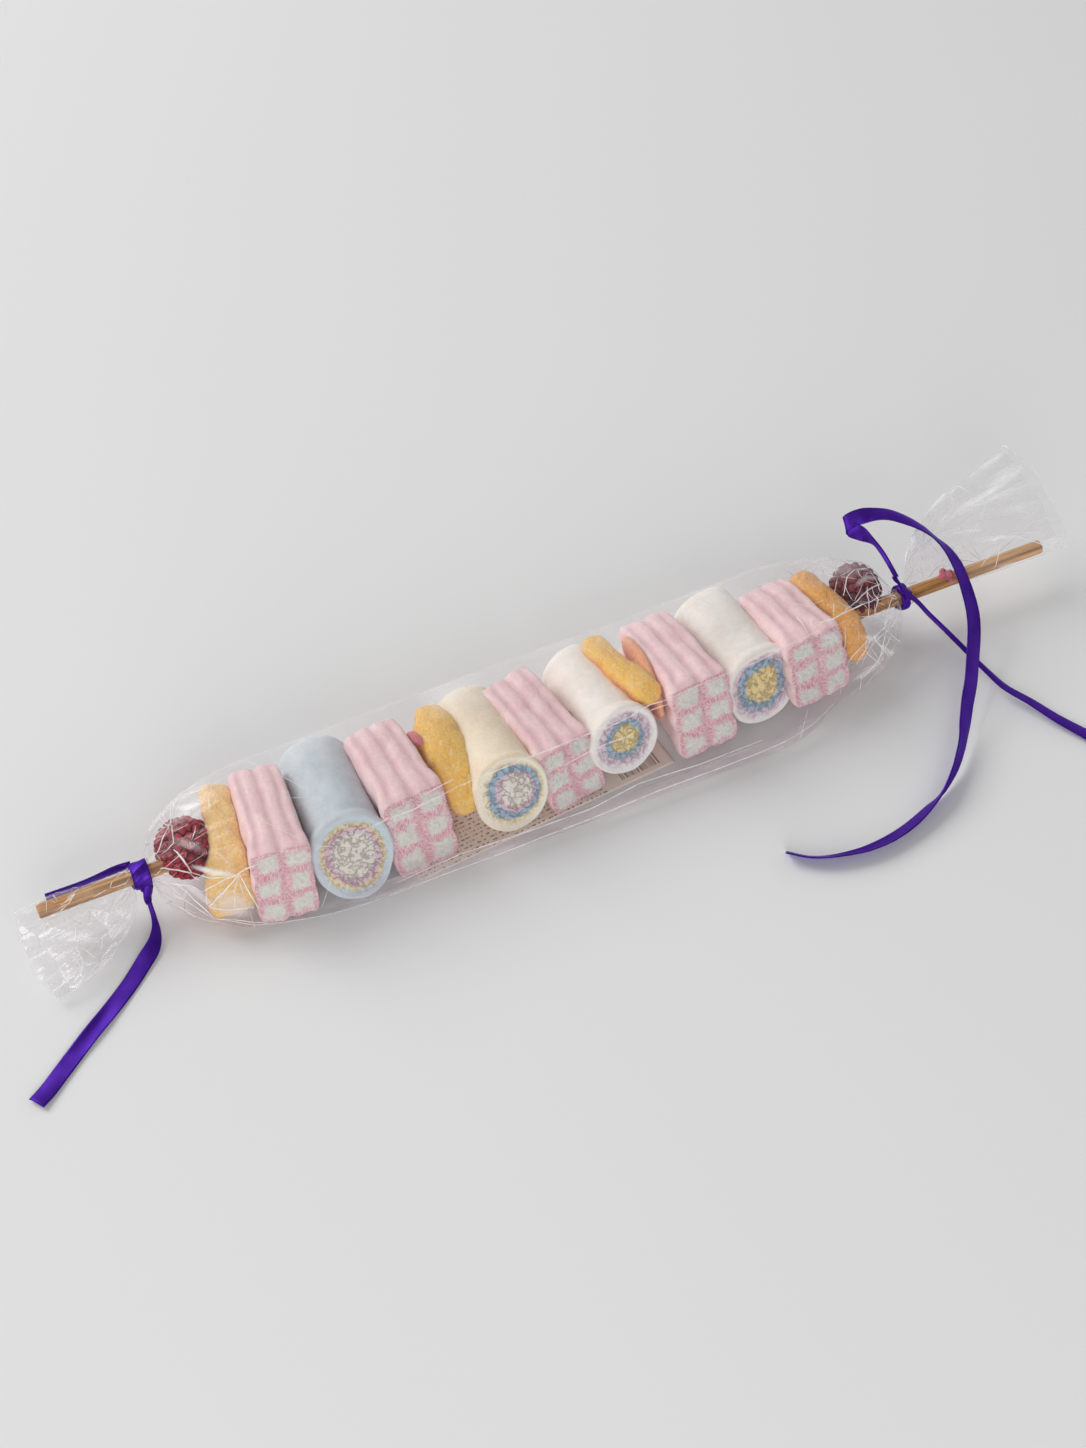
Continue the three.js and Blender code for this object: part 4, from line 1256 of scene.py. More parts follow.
def section_outline():
    corners = [np.array(c[:2]) for c in SECTION]
    rounds = [c[2] for c in SECTION]
    dense = []
    for k, corner in enumerate(corners):
        start = corner + unit(corners[k - 1] - corner) * rounds[k]
        end = corner + unit(corners[(k + 1) % len(corners)] - corner) * rounds[k]
        for t in np.linspace(0, 1, 60):
            dense.append((1 - t) ** 2 * start + 2 * t * (1 - t) * corner + t * t * end)
    return spaced_from_far_side(np.array(dense))


def arc(centre, radius, angles):
    return np.array(centre) + radius * np.stack([np.cos(angles), np.sin(angles)], -1)


def mouth_outline(flare):
    stick_side, tip = np.array(flare["stick"][:2]), np.array(flare["tip"][:2])
    run = tip - stick_side
    heading = math.atan2(run[1], run[0])
    spread = math.acos((flare["stick"][2] - flare["tip"][2]) / np.linalg.norm(run))
    first = np.linspace(heading - spread, heading + spread, 60)
    second = np.linspace(heading + spread, heading - spread + 2 * math.pi, 60)
    return spaced_from_far_side(np.vstack([
        arc(tip, flare["tip"][2], first), arc(stick_side, flare["stick"][2], second),
    ]))


AROUND_ANGLE = circle(FILM_AROUND)
NECK_RING = arc([0, AXIS_Z], NECK_RADIUS, AROUND_ANGLE)
FULL_SECTION = section_outline()
FOLD = np.cos(FOLD_COUNT * AROUND_ANGLE)
PLEATS = (
    0.55 * np.cos(23 * AROUND_ANGLE + 1.1 + 0.8 * np.sin(2 * AROUND_ANGLE))
    + 0.45 * np.cos(37 * AROUND_ANGLE + 0.4 + 1.3 * np.sin(3 * AROUND_ANGLE))
)


def rise(distance, length):
    """From 0 to 1 over this length, in a quarter of a circle."""
    left = 1 - np.clip(distance / length, 0, 1)
    return np.sqrt(1 - left * left)


def dip_at(x):
    gap = min(abs(x - facts[0]) for facts in BLOCKS.values())
    beyond = max(gap - BLOCK_HALF_WIDTH, 0)
    return DIP_DEPTH * (1 - math.exp(-((beyond / BLOCK_HALF_WIDTH) ** 2)))


def body_ring(x):
    from_left = x - (TIE_LEFT_X + NECK_HALF_LENGTH)
    from_right = TIE_RIGHT_X - NECK_HALF_LENGTH - x
    scale = {side: min(rise(from_left, SWELL_LEFT[side]), rise(from_right, SWELL_RIGHT[side]))
             for side in SWELL_LEFT}
    along = from_left / (from_left + from_right)
    pinch = 1 - PINCH_SHARE * math.exp(-(((from_right - PINCH_FROM) / PINCH_REACH) ** 2))
    near = (BREADTH_NEAR[0] * (1 - along) + BREADTH_NEAR[1] * along) * pinch
    far = BREADTH_FAR[0] * (1 - along) + BREADTH_FAR[1] * along
    from_tie = min(from_left, from_right)
    fade = math.exp(-((from_tie / FOLD_REACH) ** 2))
    full_y, full_z = FULL_SECTION.T
    is_near = full_y < 0
    above = full_z > AXIS_Z
    breadth = np.where(is_near, near, far)
    side_scale = np.where(is_near, scale["near"], scale["far"])
    y = NECK_RING[:, 0] + (full_y * breadth - NECK_RING[:, 0]) * side_scale
    kept = 1 - (1 - DIP_LEFT_FAR) * smoothstep(*DIP_FADE, full_y)
    dip = dip_at(x) * np.minimum((full_z - AXIS_Z) / AXIS_Z, 1) * kept
    level = full_z - np.where(above, dip, 0)
    z = NECK_RING[:, 1] + (level - NECK_RING[:, 1]) * np.where(above, scale["up"], scale["down"])
    outward = unit(np.stack([y, z - AXIS_Z], -1))
    depth = FOLD_DEPTH * rise(from_tie, 8.0) * fade * FOLD
    depth = depth + PLEAT_DEPTH * rise(from_tie, 3.0) * math.exp(-from_tie / PLEAT_REACH) * PLEATS
    return np.stack([np.full(FILM_AROUND, x), y + outward[:, 0] * depth, z + outward[:, 1] * depth], -1)


def flare_ring(flare, outline, tie_x, s):
    opening = s ** flare["bell"]
    point = NECK_RING + (outline - NECK_RING) * opening
    axis = np.array([0, AXIS_Z])
    root, end = (axis + (np.array(flare[side][:2]) - axis) * opening for side in ("stick", "tip"))
    run = end - root
    along = np.clip((point - root) @ run / max(run @ run, 1e-6), 0, 1)
    outward = unit(point - (root + along[:, None] * run))
    depth = 0.5 * FLARE_FOLD_DEPTH * s * (0.2 + 0.8 * along) * FOLD
    depth = depth + FLARE_PLEAT_DEPTH * (s * (1 - s)) ** 0.5 * PLEATS
    point = point + outward * depth[:, None]
    square = flare["along_stick"] + (flare["along_tip"] - flare["along_stick"]) * along ** 2
    mouth_x = square + flare["bow"] * np.sin(math.pi * along)
    return np.stack([tie_x + (mouth_x - tie_x) * s, point[:, 0], point[:, 1]], -1)


class Facets:
    """Random flat facets between sharp creases on a sheet that closes on itself across.

    A point of the sheet is (turn, run): the share of the way round, and the share of the
    way along. rows gives the points at each run; width and length are in millimetres.
    """

    def __init__(self, seed, rows, width, length):
        generator = np.random.default_rng(seed)
        self.stretch = np.array([width, length])
        spots = []
        for k, (run, count) in enumerate(rows):
            gap = 1.0 if k in (0, len(rows) - 1) else 0.5 * abs(rows[k + 1][0] - rows[k - 1][0])
            turn = (np.arange(count) + 0.5 * (k % 2) + generator.uniform(-0.38, 0.38, count)) / count
            shift = generator.uniform(-0.4, 0.4, count) * gap * (k not in (0, len(rows) - 1))
            spots.append(np.stack([turn % 1.0, run + shift], -1))
        base = np.vstack(spots)
        self.count = len(base)
        self.spots = np.vstack([base, base - [1, 0], base + [1, 0]])
        self.heights = np.tile(generator.uniform(-1, 1, self.count), 3)
        flat = [Vector(p) for p in self.spots * self.stretch]
        self.triangles = np.array(delaunay_2d_cdt(flat, [], [], 0, 1e-5)[2])

    def height(self, turn, run):
        """Height from -1 to 1 at each point of the sheet."""
        at = np.stack([turn, run], -1)
        result = np.zeros(turn.shape)
        for triangle in self.triangles:
            p, q, r = self.spots[triangle]
            area = (q[0] - p[0]) * (r[1] - p[1]) - (r[0] - p[0]) * (q[1] - p[1])
            if abs(area) < 1e-12:
                continue
            v = ((at[..., 0] - p[0]) * (r[1] - p[1]) - (r[0] - p[0]) * (at[..., 1] - p[1])) / area
            w = ((q[0] - p[0]) * (at[..., 1] - p[1]) - (at[..., 0] - p[0]) * (q[1] - p[1])) / area
            inside = (v >= 0) & (w >= 0) & (v + w <= 1)
            value = (1 - v - w) * self.heights[triangle[0]]
            value = value + v * self.heights[triangle[1]] + w * self.heights[triangle[2]]
            result[inside] = value[inside]
        return result

    def creases(self):
        """Each crease once, as its two ends."""
        edges = set()
        for triangle in self.triangles:
            for i in range(3):
                first, second = sorted((int(triangle[i]), int(triangle[(i + 1) % 3])))
                if first < self.count:
                    edges.add((first, second))
        return [(self.spots[first], self.spots[second]) for first, second in sorted(edges)]


def film_normals(grid):
    around = np.roll(grid, -1, 1) - np.roll(grid, 1, 1)
    along = np.gradient(grid, axis=0)
    return unit(np.cross(around, along))


TURN = np.arange(FILM_AROUND) / FILM_AROUND
END_LENGTH = 62.0
END_ROWS = [(0.0, 12), (0.07, 14), (0.17, 14), (0.29, 13), (0.43, 12), (0.6, 10), (0.8, 8), (1.0, 6)]
TAUT_ROWS = [(0.0, 7), (0.14, 8), (0.29, 7), (0.44, 8), (0.58, 7), (0.73, 8), (0.87, 7), (1.0, 7)]
LEFT_FLARE_ROWS = [(0.0, 12), (0.2, 12), (0.4, 13), (0.6, 13), (0.8, 14), (1.0, 14)]
RIGHT_FLARE_ROWS = [(0.0, 14), (0.22, 13), (0.55, 12), (1.0, 11)]
LEFT_END = Facets(31, END_ROWS, 110.0, END_LENGTH)
RIGHT_END = Facets(32, END_ROWS, 110.0, END_LENGTH)
TAUT = Facets(33, TAUT_ROWS, 180.0, 290.0)
LEFT_FLARE = Facets(34, LEFT_FLARE_ROWS, 80.0, 42.0)
RIGHT_FLARE = Facets(35, RIGHT_FLARE_ROWS, 90.0, 70.0)
# How far out a sweet is looked for, how clear of it the film is lifted, and over how many
# points of the sheet the lift fades out.
OVER_REACH, OVER_GAP, OVER_SPREAD = 9.0, 0.3, 26
# The film's rows, and how far their spacing goes over from even to closer at both ends.
BODY_ROWS, CLOSER_AT_ENDS = 360, 0.55
# How deep the facets are, and how far the whole sheet is drawn in, in millimetres.
TAUT_DEPTH, LEFT_DEPTH, RIGHT_DEPTH, DRAWN_IN = 0.35, 1.0, 1.35, 0.25
LEFT_FLARE_DEPTH, RIGHT_FLARE_DEPTH = 2.0, 1.7
RAGGED = 0.012


def over_contents(grid):
    """The sheet pushed out, in smooth swells, wherever a sweet would stand through it."""
    tree = bvhtree.BVHTree.FromPolygons(np.concatenate(CONTENTS["points"]).tolist(), CONTENTS["faces"])
    normal = film_normals(grid)
    needed = np.zeros(grid.shape[:2])
    for place_on_grid in np.ndindex(needed.shape):
        outward = Vector(normal[place_on_grid])
        _, skin, _, distance = tree.ray_cast(Vector(grid[place_on_grid]), outward, OVER_REACH)
        if skin is not None and skin.dot(outward) > 0:
            needed[place_on_grid] = distance + OVER_GAP
    lift = needed
    for _ in range(OVER_SPREAD):
        rows = np.pad(lift, ((1, 1), (0, 0)))
        lift = (rows[:-2] + rows[1:-1] + rows[2:]) / 3
        lift = (np.roll(lift, 1, 1) + lift + np.roll(lift, -1, 1)) / 3
        lift = np.maximum(lift, needed)
    return grid + normal * lift[..., None]


def film_body():
    start, end = TIE_LEFT_X + NECK_HALF_LENGTH, TIE_RIGHT_X - NECK_HALF_LENGTH
    even = np.linspace(0, 1, BODY_ROWS)
    closer = 0.5 - 0.5 * np.cos(math.pi * even)
    stations = start + (end - start) * ((1 - CLOSER_AT_ENDS) * even + CLOSER_AT_ENDS * closer)
    grid = np.array([body_ring(x) for x in stations])
    normal = film_normals(grid)
    turn = np.broadcast_to(TURN, grid.shape[:2])
    from_start = np.repeat((stations - start)[:, None], FILM_AROUND, 1)
    height = TAUT_DEPTH * TAUT.height(turn, from_start / (end - start))
    ends = ((LEFT_END, stations - start, LEFT_DEPTH), (RIGHT_END, end - stations, RIGHT_DEPTH))
    for facets, distance, depth in ends:
        fade = rise(distance, 9.0) * smoothstep(1.0, 0.25, distance / END_LENGTH)
        run = np.repeat(np.clip(distance / END_LENGTH, 0, 1)[:, None], FILM_AROUND, 1)
        height = height + depth * fade[:, None] * facets.height(turn, run)
    height = height * rise(np.minimum(stations - start, end - stations), 6.0)[:, None] - DRAWN_IN
    grid = over_contents(grid + normal * height[..., None])
    grid[..., 2] = np.maximum(grid[..., 2], FILM_LIFT)
    return stations, grid


def film_flare(flare, tie_x, facets, depth):
    outline = mouth_outline(flare)
    shares = np.linspace(0, 1, FLARE_STATIONS) ** FLARE_SPACING
    grid = np.array([flare_ring(flare, outline, tie_x, s) for s in shares])
    normal = film_normals(grid)
    turn = np.broadcast_to(TURN, grid.shape[:2])
    run = np.repeat(shares[:, None], FILM_AROUND, 1)
    height = depth * run ** 0.5 * facets.height(turn, run)
    grid = grid + normal * height[..., None]
    ragged = RAGGED * (facets.height(TURN, np.ones(FILM_AROUND)) + np.abs(np.sin(5 * math.pi * TURN)) - 0.6)
    grid[..., 0] += (grid[..., 0] - tie_x) * ragged[None, :] * run ** 2
    grid[..., 2] = np.maximum(grid[..., 2], FILM_LIFT)
    return grid


stations, body_grid = film_body()
left_grid = film_flare(FLARE_LEFT, TIE_LEFT_X - NECK_HALF_LENGTH, LEFT_FLARE, LEFT_FLARE_DEPTH)
right_grid = film_flare(FLARE_RIGHT, TIE_RIGHT_X + NECK_HALF_LENGTH, RIGHT_FLARE, RIGHT_FLARE_DEPTH)

# Painted highlights, where a fold catches the light: how bright it is, half its width in mm,
# and its line over the sheet, as x or the share of the flare's length, and the share of the
# way round.
BODY_GLEAMS = [
    (0.95, 1.0, [(52.7, 0.358), (57.8, 0.383), (65.0, 0.404)]),
    (0.75, 1.1, [(55.5, 0.13), (59.6, 0.15), (63.5, 0.17)]),
    (0.4, 4.2, [(58.0, 0.47), (62.0, 0.485), (66.5, 0.497)]),
    (0.5, 1.4, [(43.0, 0.40), (48.0, 0.43), (53.0, 0.47), (60.0, 0.50)]),
    (0.22, 1.6, [(50.0, 0.22), (54.0, 0.28), (58.0, 0.32)]),
    (0.35, 1.3, [(296.0, 0.34), (299.5, 0.36), (302.0, 0.39)]),
    (0.5, 1.1, [(313.0, 0.40), (317.0, 0.43), (320.0, 0.45)]),
    (0.45, 1.2, [(322.0, 0.36), (327.0, 0.38), (331.0, 0.37)]),
    (0.4, 1.0, [(319.0, 0.22), (325.0, 0.20), (330.0, 0.20)]),
    (0.35, 1.4, [(305.0, 0.50), (312.0, 0.50), (320.0, 0.49)]),
    (0.5, 1.0, [(320.0, 0.46), (324.0, 0.50), (326.0, 0.52)]),
    (0.45, 0.9, [(327.0, 0.42), (330.0, 0.46)]),
    (0.5, 0.9, [(316.0, 0.44), (320.0, 0.42)]),
]
LEFT_GLEAMS = [
    (0.75, 0.9, [(0.75, 0.475), (0.64, 0.417)]),
    (0.6, 0.7, [(0.85, 0.383), (0.85, 0.471)]),
    (0.6, 0.8, [(0.86, 0.35), (0.73, 0.346), (0.63, 0.379)]),
    (0.55, 0.7, [(0.75, 0.271), (0.79, 0.254), (0.73, 0.254)]),
    (0.5, 0.7, [(0.87, 0.229), (0.87, 0.275), (0.85, 0.317)]),
    (0.55, 0.9, [(0.34, 0.383), (0.29, 0.312)]),
    (0.6, 1.0, [(0.2, 0.35), (0.18, 0.396)]),
    (0.3, 1.6, [(0.68, 0.238), (0.56, 0.325), (0.46, 0.4)]),
    (0.35, 1.2, [(0.46, 0.4), (0.28, 0.433), (0.15, 0.467)]),
    (0.4, 1.0, [(0.95, 0.25), (0.93, 0.30)]),
]
RIGHT_GLEAMS = [
    (0.72, 1.5, [(0.40, 0.448), (0.52, 0.45), (0.65, 0.462), (0.77, 0.471), (0.90, 0.479)]),
    (0.6, 1.2, [(0.46, 0.462), (0.67, 0.492), (0.8, 0.512), (0.95, 0.521)]),
    (0.5, 1.4, [(0.34, 0.345), (0.44, 0.35), (0.58, 0.352)]),
    (0.5, 0.9, [(0.26, 0.44), (0.41, 0.433), (0.53, 0.425)]),
    (0.45, 0.8, [(0.34, 0.504), (0.56, 0.592)]),
    (0.4, 1.2, [(0.66, 0.37), (0.82, 0.375), (0.98, 0.38)]),
    (0.55, 0.9, [(0.5, 0.633), (0.63, 0.671), (0.77, 0.717)]),
    (0.6, 1.3, [(0.83, 0.767), (0.97, 0.771)]),
    (0.4, 1.0, [(0.55, 0.79), (0.69, 0.817), (0.85, 0.83)]),
    (0.5, 0.9, [(0.08, 0.36), (0.13, 0.40), (0.2, 0.43)]),
    (0.3, 2.2, [(0.7, 0.56), (0.85, 0.60), (0.97, 0.62)]),
    (0.6, 0.7, [(0.05, 0.40), (0.14, 0.37), (0.26, 0.34)]),
    (0.5, 0.6, [(0.04, 0.46), (0.13, 0.44), (0.26, 0.40)]),
    (0.55, 0.6, [(0.10, 0.31), (0.17, 0.34), (0.28, 0.31)]),
    (0.5, 0.6, [(0.12, 0.50), (0.2, 0.46), (0.3, 0.47)]),
    (0.5, 3.0, [(0.7, 0.448), (0.84, 0.452), (0.97, 0.456)]),
]
# Painted sheen along the far upper side: how bright, and the share of the way round of its middle and of its
# spread.
FAR_VEIL, FAR_VEIL_TURN, FAR_VEIL_SPREAD = 0.42, 0.135, 0.045
# Where along the bag the painted sheen is weaker, because a jelly touches the film.
VEIL_GAPS, VEIL_GAP_HALF_WIDTH = (146.0, 216.0), 7.0


def on_sheet(grid, turn, row):
    """Point of the sheet at a share of the way round and a row number, both fractional."""
    column = (turn % 1.0) * FILM_AROUND
    j, i = np.floor(column).astype(int), np.clip(np.floor(row).astype(int), 0, len(grid) - 2)
    u, v = (column - j)[:, None], (row - i)[:, None]
    k = (j + 1) % FILM_AROUND
    j = j % FILM_AROUND
    near = grid[i, j] * (1 - u) + grid[i, k] * u
    far = grid[i + 1, j] * (1 - u) + grid[i + 1, k] * u
    return near * (1 - v) + far * v


def flare_row(share):
    return np.asarray(share) ** (1 / FLARE_SPACING) * (FLARE_STATIONS - 1)


def body_row(x):
    return np.interp(x, stations, np.arange(len(stations)))


def line_on_sheet(to_row, route, steps=60):
    """Turns and row numbers along a drawn line."""
    route = np.array(route)
    t = np.linspace(0, len(route) - 1, steps)
    knots = np.arange(len(route))
    return np.interp(t, knots, route[:, 1]), to_row(np.interp(t, knots, route[:, 0]))


def painted_gleam(grid, to_row, gleams):
    """How much each point of the sheet is whitened by painted highlights."""
    result = np.zeros(grid.shape[:2])
    flat = grid.reshape(-1, 3)
    for strength, half, route in gleams:
        line = on_sheet(grid, *line_on_sheet(to_row, route))
        low, high = line.min(0) - 3 * half, line.max(0) + 3 * half
        near = np.nonzero(np.all((flat > low) & (flat < high), axis=1))[0]
        gap = np.linalg.norm(flat[near][:, None, :] - line[None, ::2, :], axis=-1)
        taper = np.sin(np.linspace(0.25, math.pi - 0.25, gap.shape[1]))
        value = (taper * np.exp(-((gap / (half * (0.5 + 0.5 * taper))) ** 4))).max(1) * strength
        result.ravel()[near] = np.maximum(result.ravel()[near], value)
    return result


def painted_far_sheen():
    """Painted sheen along the far upper side, where the film stands clear of the sweets."""
    clear = np.array([0.2 + 0.8 * dip_at(x) / DIP_DEPTH for x in stations])
    for x in VEIL_GAPS:
        clear *= 1 - 0.85 * np.exp(-(((stations - x) / VEIL_GAP_HALF_WIDTH) ** 2))
    ends = smoothstep(0, 25, np.minimum(stations - stations[0], stations[-1] - stations))
    band = np.exp(-(((TURN - FAR_VEIL_TURN) / FAR_VEIL_SPREAD) ** 2))
    return FAR_VEIL * (clear * ends)[:, None] * band[None, :]


def film_piece(name, grid, sheen, whitened, material, replaces=()):
    faces = grid_faces(len(grid), FILM_AROUND)
    # UV.x carries the painted sheen and UV.y the painted highlights.
    uv = np.stack([np.broadcast_to(sheen, grid.shape[:2]), whitened], -1).reshape(-1, 2)
    make_piece(name, grid.reshape(-1, 3), faces, [material], "clear_film", replaces, uv=uv)


# Masks of the painted highlights on each stretch of film.
body_white = painted_gleam(body_grid, body_row, BODY_GLEAMS)
left_white = painted_gleam(left_grid, flare_row, LEFT_GLEAMS)
right_white = painted_gleam(right_grid, flare_row, RIGHT_GLEAMS)
plain = np.zeros((1, FILM_AROUND))
film_piece("film_bag_clear", body_grid, painted_far_sheen(), body_white, BODY_FILM, ("film_bag",))
film_piece("film_flare_left", np.concatenate([left_grid[::-1], body_grid[:1]]), 0.0,
           np.concatenate([left_white[::-1], plain]), FLARE_FILM)
film_piece("film_flare_right", np.concatenate([body_grid[-1:], right_grid]), 0.0,
           np.concatenate([plain, right_white]), FLARE_FILM)

# Creases and edges of the film, whitened where the sheet is folded sharply, partly as
# painted highlights.
CREASE_LIFT = 0.07


def strips(grid, lines, lift=CREASE_LIFT):
    """Narrow strips on the sheet. A line is turns, row numbers and a half-width in mm."""
    normal = film_normals(grid)
    middle = len(grid) // 2
    from_axis = grid[middle] - grid[middle].mean(0)
    flip = 1.0 if (normal[middle] * from_axis).sum() > 0 else -1.0
    points, faces = [], []
    start = 0
    for turns, row, half in lines:
        centre = on_sheet(grid, turns, row)
        outward = unit(flip * on_sheet(normal, turns, row))
        side = unit(np.cross(outward, np.gradient(centre, axis=0)))
        half = np.broadcast_to(half, len(centre))[:, None]
        ridge = centre + outward * (lift + 0.4 * np.minimum(half, 0.3))
        foot = centre + outward * lift * 0.5
        points.append(np.stack([foot - side * half, ridge, foot + side * half], 1).reshape(-1, 3))
        faces += grid_faces(len(centre), 3, closed=False, start=start)
        start += 3 * len(centre)
    return np.vstack(points), faces


def crease_lines(facets, to_row, share, width, seed, fade=None):
    """A random share of the facets' creases, as tapering lines."""
    generator = np.random.default_rng(seed)
    lines = []
    for first, second in facets.creases():
        keep, size = generator.uniform(), generator.uniform(0.5, 1.0)
        middle = (first[1] + second[1]) / 2
        if keep > share * (1.0 if fade is None else fade(middle)):
            continue
        t = np.linspace(generator.uniform(0, 0.3), generator.uniform(0.7, 1), 14)
        turns = first[0] + (second[0] - first[0]) * t
        row = to_row(np.clip(first[1] + (second[1] - first[1]) * t, 0, 1))
        lines.append((turns, row, width * size * np.sin(np.linspace(0.12, math.pi - 0.12, 14)) ** 0.7))
    return lines


# Folds of the bag: half a width in mm, and the line as x and the share of the way round.
BODY_FOLDS = [
    (0.22, [(66.1, 0.4), (68.8, 0.392), (73.0, 0.385)]),
    (0.2, [(66.1, 0.4), (59.6, 0.417), (53.2, 0.454)]),
    (0.22, [(66.1, 0.4), (60.3, 0.45), (53.8, 0.488)]),
    (0.18, [(53.8, 0.488), (60.3, 0.492), (68.1, 0.492)]),
    (0.22, [(66.1, 0.4), (68.1, 0.462), (69.5, 0.496)]),
    (0.16, [(66.1, 0.4), (63.5, 0.45), (62.0, 0.49)]),
    (0.24, [(49.0, 0.275), (50.6, 0.338), (51.6, 0.375)]), (0.2, [(50.1, 0.308), (51.6, 0.375)]),
    (0.24, [(43.1, 0.333), (47.1, 0.358), (51.6, 0.375)]),
    (0.2, [(41.4, 0.408), (45.2, 0.412), (53.2, 0.454)]),
    (0.18, [(51.6, 0.375), (57.0, 0.40), (66.1, 0.41)]), (0.18, [(46.0, 0.44), (55.0, 0.52), (72.0, 0.545)]),
    (0.16, [(49.0, 0.12), (52.0, 0.18), (50.0, 0.24), (45.0, 0.27)]),
    (0.16, [(55.0, 0.10), (49.0, 0.2), (41.5, 0.25)]),
    (0.16, [(110.0, 0.385), (120.3, 0.379), (129.2, 0.379), (140.3, 0.371), (147.0, 0.365)]),
    (0.15, [(147.0, 0.365), (150.7, 0.362), (154.9, 0.358), (176.3, 0.358), (197.9, 0.354), (205.5, 0.354),
           (223.5, 0.338), (228.8, 0.342), (239.1, 0.338), (253.1, 0.333)]),
    (0.14, [(135.0, 0.357), (147.0, 0.346)]), (0.15, [(186.0, 0.40), (199.0, 0.388), (214.0, 0.384)]),
    (0.14, [(222.0, 0.349), (230.0, 0.352)]), (0.13, [(253.1, 0.333), (280.0, 0.325), (296.0, 0.33)]),
    (0.2, [(70.0, 0.545), (90.0, 0.553), (118.0, 0.552), (135.0, 0.546), (154.9, 0.546), (176.3, 0.542),
           (200.1, 0.538), (219.3, 0.533), (244.1, 0.533), (270.0, 0.53), (296.0, 0.525)]),
    (0.16, [(118.0, 0.524), (142.4, 0.512), (169.8, 0.517), (192.5, 0.517), (212.9, 0.5), (237.0, 0.508),
            (262.0, 0.505)]),
    (0.22, [(296.2, 0.312), (302.2, 0.321), (313.8, 0.308), (326.3, 0.279)]),
    (0.2, [(307.9, 0.312), (323.7, 0.233), (330.9, 0.217)]),
    (0.2, [(323.7, 0.225), (316.9, 0.354)]),
    (0.2, [(325.7, 0.225), (324.2, 0.304), (319.2, 0.358)]),
    (0.2, [(312.5, 0.238), (320.0, 0.17), (326.3, 0.138)]),
    (0.2, [(328.2, 0.146), (328.7, 0.238), (334.3, 0.329)]),
    (0.18, [(305.8, 0.358), (303.0, 0.408)]),
    (0.18, [(305.8, 0.454), (314.4, 0.421), (310.6, 0.467)]),
    (0.2, [(333.0, 0.30), (322.0, 0.40), (308.0, 0.47)]),
    (0.18, [(334.0, 0.38), (325.0, 0.44), (316.0, 0.50)]),
    (0.18, [(331.0, 0.10), (318.0, 0.10), (306.0, 0.13)]),
    (0.16, [(310.0, 0.43), (318.0, 0.50)]), (0.18, [(317.0, 0.41), (324.0, 0.53)]),
    (0.16, [(322.0, 0.40), (330.0, 0.51)]), (0.18, [(326.0, 0.37), (333.0, 0.47)]),
    (0.16, [(309.0, 0.51), (327.0, 0.46)]), (0.16, [(314.0, 0.46), (331.0, 0.42)]),
    (0.2, [(42.0, 0.52), (50.0, 0.555), (60.0, 0.57), (78.0, 0.57), (100.0, 0.562)]),
    (0.16, [(44.0, 0.47), (56.0, 0.53), (70.0, 0.55), (84.0, 0.552)]),
    (0.14, [(53.0, 0.14), (58.0, 0.10), (66.0, 0.11)]),
]
FOLD_WEIGHT = 1.15
# The film folded double along the foot of the near side, its tint painted shade and reflection:
# where, and how far off the sheet.
DOUBLE_BAND = {"x": (92.0, 300.0), "turn": (0.511, 0.548), "lift": 0.09}


def double_band():
    x = np.linspace(*DOUBLE_BAND["x"], 220)
    turns = np.linspace(*DOUBLE_BAND["turn"], 9)
    taper = smoothstep(0, 25, np.minimum(x - x[0], x[-1] - x))
    middle = turns.mean()
    points = [on_sheet(body_grid, middle + (turn - middle) * taper, body_row(x)) for turn in turns]
    out = np.array([0, -0.9, 0.3]) * DOUBLE_BAND["lift"]
    faces = grid_faces(len(turns), len(x), closed=False)
    points = (np.array(points) + out).reshape(-1, 3)
    make_piece("film_double_band", points, faces, [film_double("film_double")], "clear_film")


double_band()


# For each stretch of film: the share of the facets' creases that shows, half their width in
# millimetres, and the seed of that choice.
CREASES = {
    "left_end": (0.65, 0.13, 51), "right_end": (0.95, 0.15, 52),
    "left_flare": (0.6, 0.17, 53), "right_flare": (0.75, 0.2, 54),
}
FLARE_EDGE_HALF_WIDTH = 0.1


def left_row(run):
    return body_row(stations[0] + run * END_LENGTH)


def right_row(run):
    return body_row(stations[-1] - run * END_LENGTH)


def thin_out(run):
    """Share of the creases that is kept this far from a tie."""
    return 1.15 - run


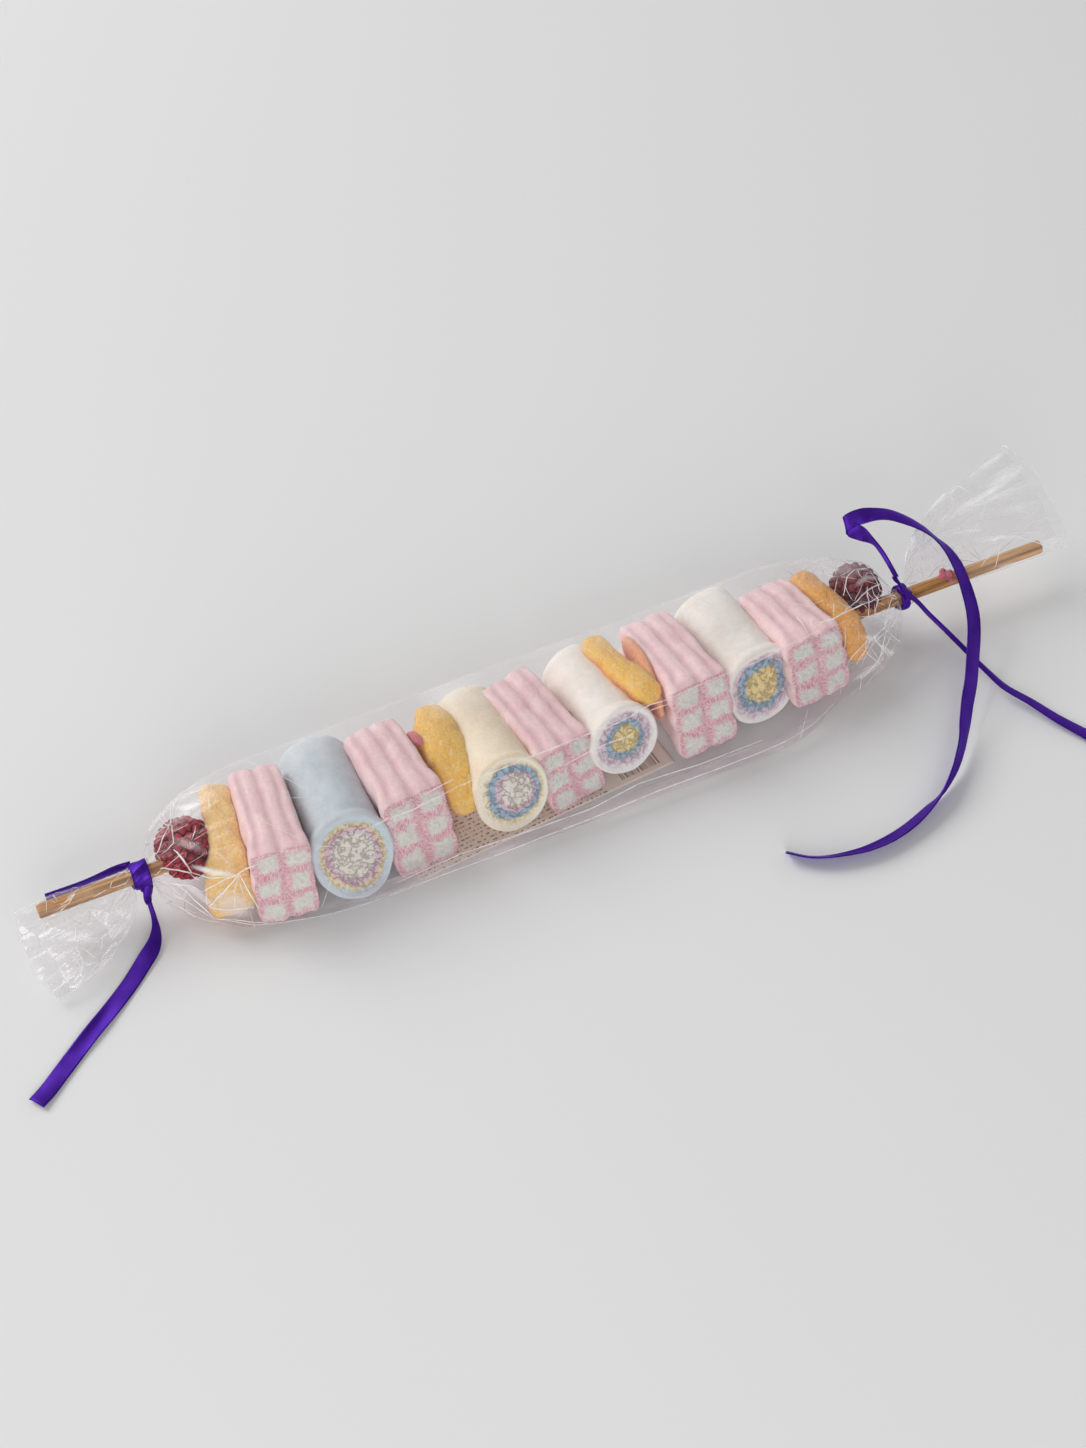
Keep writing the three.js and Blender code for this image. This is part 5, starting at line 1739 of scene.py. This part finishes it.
def film_creases():
    lines = crease_lines(LEFT_END, left_row, *CREASES["left_end"], thin_out)
    lines += crease_lines(RIGHT_END, right_row, *CREASES["right_end"], thin_out)
    for half, route in BODY_FOLDS:
        turns, row = line_on_sheet(body_row, route)
        taper = np.sin(np.linspace(0.3, math.pi - 0.3, len(turns))) ** 0.5
        lines.append((turns, row, FOLD_WEIGHT * half * taper))
    white = crease_line("film_fold_white", 0.95)
    for name, grid, found in (
        ("film_creases_body", body_grid, lines),
        ("film_creases_left", left_grid, crease_lines(LEFT_FLARE, flare_row, *CREASES["left_flare"])),
        ("film_creases_right", right_grid, crease_lines(RIGHT_FLARE, flare_row, *CREASES["right_flare"])),
    ):
        if grid is not body_grid:
            around = np.linspace(0, 1, 2 * FILM_AROUND)
            found.append((around, np.full(len(around), len(grid) - 1.001), FLARE_EDGE_HALF_WIDTH))
        points, faces = strips(grid, found)
        make_piece(name, points, faces, [white], "clear_film")


film_creases()

# ---- stage and light ------------------------------------------------------------------------

FLOOR_SIZE = 6.0
KEY = {"direction": (-0.45, 0.66, 0.60), "distance": 3.0, "size": 1.9, "power": 61.0}
FILL = {"direction": (-0.35, -0.85, 0.42), "distance": 1.8, "size": 0.9, "power": 11.0}
HORIZON, ZENITH = 0.69, 0.19


def area_light(name, facts):
    data = bpy.data.lights.new(name, "AREA")
    data.shape = "SQUARE"
    data.size = facts["size"]
    data.energy = facts["power"]
    light = bpy.data.objects.new(name, data)
    bpy.context.scene.collection.objects.link(light)
    direction = Vector(facts["direction"]).normalized()
    light.location = direction * facts["distance"]
    light.rotation_mode = "QUATERNION"
    light.rotation_quaternion = direction.to_track_quat("Z", "Y")


def make_stage():
    half = FLOOR_SIZE / 2
    corners = [(-half, -half, 0), (half, -half, 0), (half, half, 0), (-half, half, 0)]
    mesh = bpy.data.meshes.new("floor")
    mesh.from_pydata(corners, [], [(0, 1, 2, 3)])
    mesh.materials.append(floor_material())
    floor = bpy.data.objects.new("floor", mesh)
    bpy.context.scene.collection.objects.link(floor)
    world = bpy.data.worlds.new("studio")
    world.use_nodes = True
    tree = world.node_tree
    direction = tree.nodes.new("ShaderNodeTexCoord").outputs["Generated"]
    split = tree.nodes.new("ShaderNodeSeparateXYZ")
    tree.links.new(direction, split.inputs[0])
    strength = tree.nodes.new("ShaderNodeMapRange")
    strength.inputs["To Min"].default_value = HORIZON
    strength.inputs["To Max"].default_value = ZENITH
    tree.links.new(split.outputs["Z"], strength.inputs["Value"])
    tree.nodes["Background"].inputs["Color"].default_value = (1, 1, 1, 1)
    tree.links.new(strength.outputs[0], tree.nodes["Background"].inputs["Strength"])
    bpy.context.scene.world = world
    area_light("key", KEY)
    area_light("fill", FILL)
    bpy.context.scene.view_settings.view_transform = "Standard"


make_stage()
